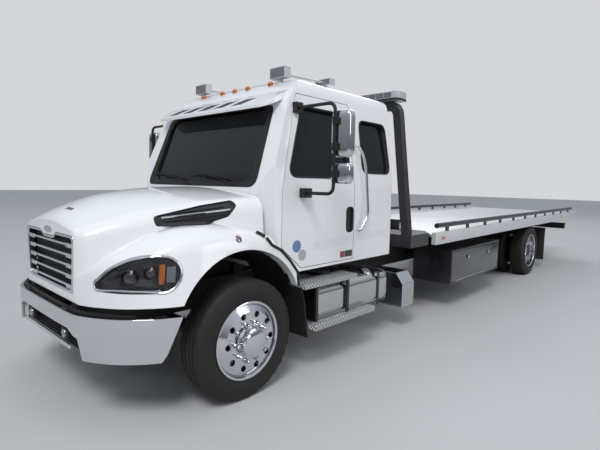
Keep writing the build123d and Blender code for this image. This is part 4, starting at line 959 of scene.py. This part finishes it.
# Lamps on the roof with their bars, and amber markers over the visor
cases, faces, markers = Piece(), Piece(), Piece()
for rear, front, low, high in ((-0.850, -0.772, 2.590, 2.690), (-1.490, -1.412, 2.630, 2.698)):
    cases.box((rear, front), (0.50, 0.70), (low, high))
    cases.box((rear + 0.02, front - 0.02), (0.58, 0.62), (low - 0.09, low + 0.01))
    faces.box((front, front + 0.003), (0.512, 0.688), (low + 0.01, high - 0.01))
cases.tube([at(-0.84, 0.60, 2.640), at(-1.42, 0.60, 2.664)], 0.012)
cases.finish("work_lamps", "chassis", "lamp_shell", both=True, bevel=0.006)
faces.finish("work_lamp_faces", "chassis", "lamp_clear", both=True)
for y in (-0.52, -0.20, 0.0, 0.20, 0.52):
    markers.turned([(0.029, -0.02), (0.029, 0.008), (0.025, 0.022), (0.014, 0.030), (0.001, 0.032)],
                   hit(cab_skin, at(-0.770, y, 2.9), DOWN), (0.53, 0, 0.85), 24)
markers.finish("roof_markers", "chassis", "amber", angle=60)

# Light pylon: one arch of square tube on a cross box, with the light bar on top
PYLON_X = -2.42
PYLON = [(-1.130, 0.925), (-0.9276, 2.590), (0.9276, 2.590), (1.130, 0.925), (1.0286, 0.925), (0.8384, 2.490),
         (-0.8384, 2.490), (-1.0286, 0.925)]
pylon = prism(smooth_corners(PYLON, (0, 0.17, 0.17, 0, 0, 0.08, 0.08, 0), 8), "x",
              (PYLON_X - 0.048, PYLON_X + 0.048))
pylon.box((-2.80, -2.362), (-1.15, 1.15), (0.925, 1.075))
for y in ((-0.432, -0.34), (0.34, 0.432)):
    pylon.box((-2.48, -2.36), y, (0.8003, 0.926))
pylon.finish("pylon_arch", "chassis", "black_paint", bevel=0.010, replaces=["light_pylon"])


def light_bar(depth, half, span):
    return prism(smooth_corners(oblong((PYLON_X - depth, PYLON_X + depth), (-half, half)), 0.06), "z", span)


light_bar(0.115, 0.94, (2.5903, 2.694)).finish("light_bar_case", "chassis", "lamp_shell", bevel=0.010,
                                               replaces=["warning_lights"])
light_bar(0.117, 0.942, (2.592, 2.615)).finish("light_bar_base", "chassis", "frame_paint", "lamp_glass",
                                               bevel=0.003)
bar_lenses = Piece()
for k in range(8):
    y = 0.02 + k * 0.106
    for x in (PYLON_X + 0.1155, PYLON_X - 0.1155):
        bar_lenses.box((x - 0.0012, x + 0.0012), (y, y + 0.098), (2.622, 2.678))
bar_lenses.finish("light_bar_lenses", "chassis", "lamp_clear", both=True)

# Steps, hangers and tank strap; grab handles beside the doors
STRAP_X = (-1.780, -1.740)
GRAB = [(-1.432, 0.99, 2.010), (-1.432, 1.052, 2.010), (-1.505, 1.072, 1.915), (-1.535, 1.090, 1.745),
        (-1.552, 1.112, 1.340), (-1.445, 1.102, 1.185), (-1.445, 1.055, 1.185)]
treads = Piece().box((-1.345, -0.600), (0.955, 1.155), (0.746, 0.790))
treads.box((-1.580, -0.680), (1.1215, 1.215), (0.385, 0.437))
treads.finish("step_treads", "chassis", "tread_plate", "bright_aluminium", both=True, bevel=0.005,
              replaces=["cab_steps"])
hangers = Piece()
for x in ((-0.785, -0.755), (-1.235, -1.205)):
    hangers.box(x, (1.1212, 1.146), (0.400, 0.760)).box(x, (0.4325, 1.146), (0.739, 0.7535))
hangers.box(STRAP_X, (0.4325, 1.127), (0.7363, 0.743)).box(STRAP_X, (1.1203, 1.127), (0.396, 0.743))
hangers.finish("step_hangers", "chassis", "black_paint", both=True, bevel=0.002)
Piece().tube(bent([at(*p) for p in GRAB], 0.05), 0.013, (1, 0.2, 0.1), 12).finish(
    "grab_handles", "chassis", "chrome", both=True, angle=60)

# Battery box with a bevelled lid, the guards behind the front wheels and the arches' liners
BATTERY = [(0.640, 0.270), (1.150, 0.270), (1.150, 0.535), (1.060, 0.655), (0.640, 0.655)]
GUARD = [(-0.517, 0.785), (-0.553, 0.680), (-0.582, 0.500), (-0.605, 0.340)]
LINER_RADIUS, LINER_WALL, LINER_Y = 0.594, 0.004, (0.62, 1.05)
prism(BATTERY, "x", (-2.480, -2.225)).box((-2.40, -2.28), (0.4325, 0.645), (0.565, 0.625)).finish(
    "battery_case", "chassis", "chrome", "bright_aluminium", bevel=0.006, replaces=["battery_box"])
prism(GUARD + [(x - 0.012, z) for x, z in reversed(GUARD)], "y", (0.660, 1.180)).finish(
    "front_guards", "chassis", "black_rubber", both=True, bevel=0.002)
liner_rows = []
for k in range(33):
    a = math.radians(26 + 140 * k / 32)
    near = LINER_RADIUS - (0.004 if k % 2 else 0.0)
    liner_rows.append([at(ARCH_X + r * math.cos(a), y, ARCH_Z + r * math.sin(a))
                       for y, r in oblong(LINER_Y, (near, near + LINER_WALL))])
Piece().rings(liner_rows).finish("arch_liners", "hood", "black_plastic", both=True)

# Tyres with grooves and shoulder notches
HALF_TYRE = (
    # distance from the middle, radius
    (0.000, 0.4600), (0.017, 0.4600), (0.019, 0.4480), (0.027, 0.4480), (0.029, 0.4600), (0.056, 0.4595),
    (0.058, 0.4475), (0.066, 0.4475), (0.068, 0.4590), (0.084, 0.4580), (0.096, 0.4550), (0.105, 0.4470),
    (0.110, 0.4380), (0.114, 0.4240), (0.119, 0.4080), (0.1225, 0.3920), (0.1245, 0.3740), (0.1232, 0.3690),
    (0.1232, 0.3640), (0.1240, 0.3600), (0.1215, 0.3420), (0.1165, 0.3240), (0.1110, 0.3120),
    (0.1080, 0.3075), (0.1080, 0.2990),
)
TYRE = [(r, -y) for y, r in reversed(HALF_TYRE)] + [(r, y) for y, r in HALF_TYRE[1:]]
TYRE_SIDES = 144
SHOULDER = {i for i, (r, y) in enumerate(TYRE) if 0.083 < abs(y) < 0.111}
REAR_TYRES_Y = (REAR_WHEEL_Y + 0.162, REAR_WHEEL_Y - 0.185)


def notch(row, k):
    """The cut that the shoulder's notches make."""
    return 0.007 if row in SHOULDER and k % 4 == 0 else 0.0


def tyres(piece, x, *places):
    for y in places:
        piece.turned(TYRE, at(x, y, AXLE_Z), sides=TYRE_SIDES, loop=True, notch=notch)


twins("tread_tyre_front", "front_wheel_{}", "tyre", lambda p: tyres(p, 0, FRONT_WHEEL_Y),
      replaces=["front_tyre_{}"])
twins("tread_tyres_rear", "rear_wheels_{}", "tyre", lambda p: tyres(p, REAR, *REAR_TYRES_Y),
      replaces=["rear_tyres_{}"])

# Wheels: hub caps, rolled rim edges, nut covers, valves
FRONT_DISC_Y, REAR_CAP_Y, REAR_DISC_Y, NUTS, NUT_CIRCLE = 1.150, 1.088, 0.924, 10, 0.143
HUB_CAP = ((0.108, 0.045), (0.108, 0.054), (0.096, 0.060), (0.092, 0.066), (0.070, 0.073), (0.040, 0.077),
           (0.001, 0.078))
REAR_CAP = ((0.100, 0.0), (0.100, 0.010), (0.085, 0.018), (0.050, 0.024), (0.001, 0.026))
RIM_EDGE = ((0.2972, 0.1165), (0.2972, 0.1000), (0.2850, 0.0960), (0.2800, 0.1020), (0.2790, 0.1120),
            (0.2840, 0.1180), (0.2920, 0.1195))
NUT_COVER = ((0.0190, 0.0), (0.0190, 0.012), (0.0165, 0.016), (0.0165, 0.040), (0.0120, 0.047),
             (0.0010, 0.049))


def wheel_trim(piece, x, y, disc_y):
    piece.turned(RIM_EDGE, at(x, y, AXLE_Z), sides=96, loop=True)
    for across, up in circle(NUTS, NUT_CIRCLE):
        piece.turned(NUT_COVER, at(x + across, disc_y, AXLE_Z + up), sides=12)
    piece.tube([at(x + 0.18, disc_y + 0.004, AXLE_Z + 0.05), at(x + 0.20, disc_y + 0.05, AXLE_Z + 0.056)],
               0.005)


for name, body, cap, x, cap_y in (("hub_cap_front", "front_wheel_{}", HUB_CAP, 0, FRONT_DISC_Y),
                                  ("hub_cap_rear", "rear_wheels_{}", REAR_CAP, REAR, REAR_CAP_Y)):
    twins(name, body, "chrome", lambda p: p.turned(cap, at(x, cap_y, AXLE_Z), sides=64), "polished_rim",
          angle=25)
for name, body, x, y, disc_y in (("wheel_trim_front", "front_wheel_{}", 0, FRONT_WHEEL_Y, FRONT_DISC_Y),
                                 ("wheel_trim_rear", "rear_wheels_{}", REAR, REAR_TYRES_Y[0], REAR_DISC_Y)):
    twins(name, body, "chrome", lambda p: wheel_trim(p, x, y, disc_y), "polished_rim")


# Window seals, the dark border round the windscreen and the wipers
def side_y(z):
    """How far out the cab's side stands at a height."""
    return CAB_HALF - max(0.0, z - BELT_Z) * (CAB_HALF - CAB_EAVE) / (EAVE_Z - BELT_Z)


def screen_x(z):
    """How far forward the windscreen's plane stands at a height."""
    return CAB_FRONT - (z - SCREEN_FOOT_Z) * SCREEN_LEAN


def side_seal(piece, outline, corner):
    return piece.tube([at(p.x, side_y(p.y) - 0.001, p.y) for p in smooth_corners(outline, corner, 8)], 0.0085,
                      (0, 1, 0), 8, loop=True)


twins("door_window_seal", "door_{}", "black_rubber", lambda p: side_seal(p, DOOR_WINDOW, DOOR_WINDOW_CORNER))
side_seal(Piece(), QUARTER_WINDOW, QUARTER_CORNER).finish("quarter_window_seals", "chassis", "black_rubber",
                                                          both=True)
border_inner = smooth_corners(SCREEN, SCREEN_CORNER, 8)
border_outer = smooth_corners([(-0.872, 1.600), (0.872, 1.600), (0.812, 2.305), (-0.812, 2.305)], 0.09, 8)
Piece().rings([[hit(cab_skin, at(0.3, p.x, p.y), (-1, 0, 0), lift) for p in outline] for outline, lift in
               ((border_inner, -0.03), (border_inner, 0.0035), (border_outer, 0.0035),
                (border_outer, 0.0006))],
              loop=True).finish("windscreen_border", "chassis", "black_plastic", angle=50)
wipers = Piece()
for foot, tip in ((0.60, 0.06), (-0.10, -0.66)):
    rises = [1.618 + 0.085 * math.sin(k * math.pi / 10) for k in range(6)]
    wipers.tube([at(screen_x(z) + 0.020, foot + (tip - foot) * k / 5, z) for k, z in enumerate(rises)], 0.006,
                sides=6)
    wipers.tube([at(screen_x(z) + 0.012, foot - y, z) for y, z in
                 ((0.12, 1.665), (0.32, 1.70), (0.54, 1.715), (0.74, 1.712))], 0.005, sides=6)
wipers.finish("wipers", "chassis", "black_rubber")

# Grille: wire mesh behind the bars, and a blank oval badge
Piece().box((0.925, 0.930), (-0.452, 0.452), (0.872, 1.225)).finish("grille_back", "hood", "black_plastic")
wires = Piece()
for k in range(-20, 21):
    for lean in (1, -1):
        points = [(k * 0.045 + lean * 0.11 * (t / 4 - 1), 0.875 + 0.347 * t / 8) for t in range(9)]
        inside = [at(0.935, y, z) for y, z in points if abs(y) < 0.45]
        if len(inside) > 1:
            wires.tube([inside[0], inside[-1]], 0.0022, (1, 0, 0), 4)
wires.finish("grille_wires", "hood", "dark_chrome", "black_plastic")
Piece().slab([at(0.976, 0.085 * c, 1.268 + 0.026 * s) for c, s in circle(32)], (0.014, 0, 0.001)).finish(
    "nose_badge", "hood", "chrome", bevel=0.003)

# Bonnet: side markers, washer slot, latches and the wings' seals
MARKER_AXIS = (0, 1, 0.6)
marker_place = hit(hood_skin, at(0.093, 1.5, 1.233), (0, -1, 0))
Piece().turned([(0.028, -0.004), (0.028, 0.006), (0.022, 0.011), (0.001, 0.013)], marker_place, MARKER_AXIS,
               28).finish("hood_side_markers", "hood", "lamp_clear", both=True)
Piece().turned([(0.011, 0.009), (0.011, 0.014), (0.001, 0.015)], marker_place, MARKER_AXIS, 20).finish(
    "hood_marker_dots", "hood", "red", both=True)
washer = [[hit(hood_skin, at(0.855 + 0.012 * i, 0.05 + 0.02 * j, 2.0), DOWN, 0.0008) for j in range(6)]
          for i in range(3)]
Piece().cloth(washer, (0, 0, 0.0022)).finish("washer_slot", "hood", "lamp_black", "black_plastic")
LATCH = ((-0.134, 1.052), (-0.160, 1.075), (-0.183, 1.098))
Piece().tube([hit(hood_skin, at(x, y, 1.8), DOWN, 0.006) for x, y in LATCH], 0.017).finish(
    "hood_latches", "hood", "black_rubber", both=True)
WING_SEAL = ((-0.183, 1.120, 1.222), (-0.215, 1.147, 1.166), (-0.310, 1.147, 1.118), (-0.413, 1.147, 1.027),
             (-0.508, 1.147, 0.916), (-0.522, 1.147, 0.806))
Piece().tube([at(*p) for p in WING_SEAL], 0.012, (0, 1, 0), 8).finish(
    "wing_edge_seals", "hood", "black_rubber", both=True)

# Markers and lamps of the bed and the tail
Piece().box((-3.075, -2.985), (1.2245, 1.2305), (0.985, 1.020)).finish(
    "bed_side_markers", "bed", "amber", both=True, bevel=0.003)
tail_lamps, edge_lamps = Piece(), Piece()
for y in (0.70, 0.80, 0.90, 1.00, 1.10):
    tail_lamps.turned([(0.036, 0.0), (0.036, 0.010), (0.028, 0.015), (0.001, 0.017)],
                      at(REAR - 0.9255, y, 0.7625), (-1, 0, 0), 24)
tail_lamps.finish("tail_lamps", "chassis", "red", both=True)
for y in (0.30, 0.75, 1.15):
    edge_lamps.box((TAIL, TAIL + 0.004), (y - 0.045, y + 0.045), (1.020, 1.043))
edge_lamps.finish("tail_edge_lamps", "bed", "red", both=True)
Piece().box((TAIL + 1.30, TAIL + 1.38), (1.2245, 1.2265), (0.985, 1.035)).finish(
    "rail_tags", "bed", "yellow_green", both=True)


# Toolboxes: round latches; the battery box's ribs; the tank's cap and seams
def latch_dials(piece):
    for x in (-3.91, -4.652):
        piece.turned([(0.026, 0.0), (0.026, 0.006), (0.018, 0.009), (0.001, 0.010)], at(x, 1.1965, 0.672),
                     sides=28)


twins("toolbox_latch_dials", "toolbox_door_{}", "chrome", latch_dials)
box_ribs = Piece()
for z in [0.290 + k * 0.028 for k in range(9)]:
    box_ribs.box((-2.470, -2.235), (1.149, 1.155), (z, z + 0.014))
box_ribs.finish("battery_box_ribs", "chassis", "bright_aluminium", bevel=0.003)
tank_trim = Piece()
for x in (-0.805, -1.915):
    seam = [at(x, p.x, p.y) for p in smooth_corners(oblong((0.559, 1.121), (0.405, 0.737)), 0.091)]
    tank_trim.tube(seam, 0.004, (1, 0, 0), 6, loop=True)
tank_trim.turned([(0.055, 0.0), (0.055, 0.028), (0.045, 0.036), (0.001, 0.038)], at(-1.66, 1.03, 0.726),
                 (0, 0.5, 1), 32)
tank_trim.finish("tank_trim", "chassis", "chrome", "bright_aluminium")

# Round blank stickers and a blank plate on the doors
DOOR_FACE_Y, PLATE_Z = (1.0603, 1.0625), (0.945, 1.005)
for name, finish, x, z, radius in (("door_disc_upper", "sticker_blue", -0.585, 1.110, 0.052),
                                   ("door_disc_lower", "sticker_grey", -0.655, 1.030, 0.048)):
    twins(name, "door_{}", finish,
          lambda p: p.slab([at(a, DOOR_FACE_Y[0], b) for a, b in circle(28, radius, x, z)], (0, 0.0012, 0)),
          "white_paint")
for name, finish, slot, x in (("door_plate", "dark_chrome", "chrome", (-1.372, -1.262)),
                              ("door_plate_red", "red", "lamp_glass", (-1.255, -1.185))):
    twins(name, "door_{}", finish, lambda p: p.box(x, DOOR_FACE_Y, PLATE_Z), slot)

# Mirrors: a looped black arm with two bright heads, glass at the back
ARM = ((-0.640, 0.985, 2.270), (-0.632, 1.400, 2.270), (-0.632, 1.400, 1.560), (-0.640, 1.065, 1.560))
HEAD_X, HEAD_Y = (FRONT_AXLE_X - 0.735, FRONT_AXLE_X - 0.645), (1.345, 1.530)
HEADS = (((1.850, 2.215), 0.32), ((1.640, 1.805), 0.40))  # height, and how square the form is
PANES = ((1.885, 2.180), (1.668, 1.778))


def mirror_arm(piece):
    piece.tube(bent([at(*p) for p in ARM], 0.07), 0.014, (1, 0, 0), 12)
    piece.box((-0.690, -0.605), (0.950, 1.010), (2.225, 2.315))
    piece.box((-0.700, -0.605), (1.0605, 1.120), (1.520, 1.600))
    for z in (2.130, 1.930, 1.720):
        piece.box((-0.660, -0.615), (1.385, 1.425), (z - 0.03, z + 0.03))


def mirror_heads(piece):
    for z, power in HEADS:
        piece.rings(ball_box(HEAD_X, HEAD_Y, z, (power, power), 16, 40))


def mirror_panes(piece):
    for z in PANES:
        piece.slab([at(-0.7352, *p) for p in smooth_corners(oblong((1.372, 1.503), z), 0.03, 4)],
                   (-0.002, 0, 0))


twins("mirror_arm", "door_{}", "black_plastic", mirror_arm, "black_paint", ["mirror_{}"], bevel=0.003)
twins("mirror_heads", "door_{}", "chrome", mirror_heads, angle=60)
twins("mirror_panes", "door_{}", "mirror_glass", mirror_panes, "chrome")

# Seats: crowned pads on pedestals
SEAT_Y = 0.48
PADS = (
    # behind the cab's front, half width, height
    ((-1.18, -0.66), 0.25, (1.201, 1.349)),
    ((-1.23, -1.095), 0.24, (1.33, 1.90)),
    ((-1.22, -1.11), 0.14, (1.89, 2.08)),
)
PEDESTALS = (((-1.09, -0.76), 0.15, (0.9383, 1.203)), ((-1.225, -1.10), 0.03, (1.203, 1.35)))
cushions, pedestals = Piece(), Piece()
for (rear, front), half, z in PADS:
    x = (FRONT_AXLE_X + CAB_FRONT + rear, FRONT_AXLE_X + CAB_FRONT + front)
    cushions.rings(ball_box(x, (SEAT_Y - half, SEAT_Y + half), z, (0.30, 0.36), 24, 48))
for (rear, front), half, z in PEDESTALS:
    pedestals.box((CAB_FRONT + rear, CAB_FRONT + front), (SEAT_Y - half, SEAT_Y + half), z)
seat_pads = cushions.finish("seat_pads", "chassis", "seat_cloth", both=True, angle=80, replaces=["seats"])
pedestals.finish("seat_pedestals", "chassis", "grey_plastic", "seat_cloth", both=True, bevel=0.004)

# Floor, backdrop and light
FLOOR_REACH = 60.0
LAMPS = (
    # name, place, what it looks at, power, width
    ("key", (13, 7, 14), (1, 0, 1), 1550, 5.0),
    ("side", (-4, 16, 8), (-2, 0, 1), 520, 9.0),
    ("back", (-14, -10, 12), (0, 0, 1), 700, 9.0),
)


def make_stage():
    mesh = bpy.data.meshes.new("floor")
    corners = oblong((-FLOOR_REACH, FLOOR_REACH), (-FLOOR_REACH, FLOOR_REACH))
    mesh.from_pydata([(x, y, 0) for x, y in corners], [], [(0, 1, 2, 3)])
    floor = link(bpy.data.objects.new("floor", mesh))
    n = Nodes("floor")
    n.set(Base_Color=n.mix(n.noise(0.6), (0.50, 0.50, 0.50, 1), (0.54, 0.54, 0.54, 1)), Roughness=0.9)
    mesh.materials.append(n.owner)
    n = Nodes("studio", "worlds", "Background")
    share = n.span(n.axes("Generated")[2], 0.0, 1.0, -0.02, 0.55)
    sky = n.mix(share, (0.12, 0.13, 0.15, 1), (0.56, 0.60, 0.66, 1))
    seen = n.add("LightPath", {}).outputs["Is Camera Ray"]
    n.set(Color=n.mix(seen, sky, (0.66, 0.67, 0.69, 1)), Strength=1.0)
    bpy.context.scene.world = n.owner
    for name, place, target, energy, width in LAMPS:
        data = bpy.data.lights.new(name, "AREA")
        data.energy = energy
        data.size = width
        lamp = link(bpy.data.objects.new(name, data))
        lamp.location = place
        lamp.rotation_euler = (Vector(target) - Vector(place)).to_track_quat("-Z", "Y").to_euler()


make_camera()
make_stage()
bpy.context.scene.view_settings.view_transform = "Standard"
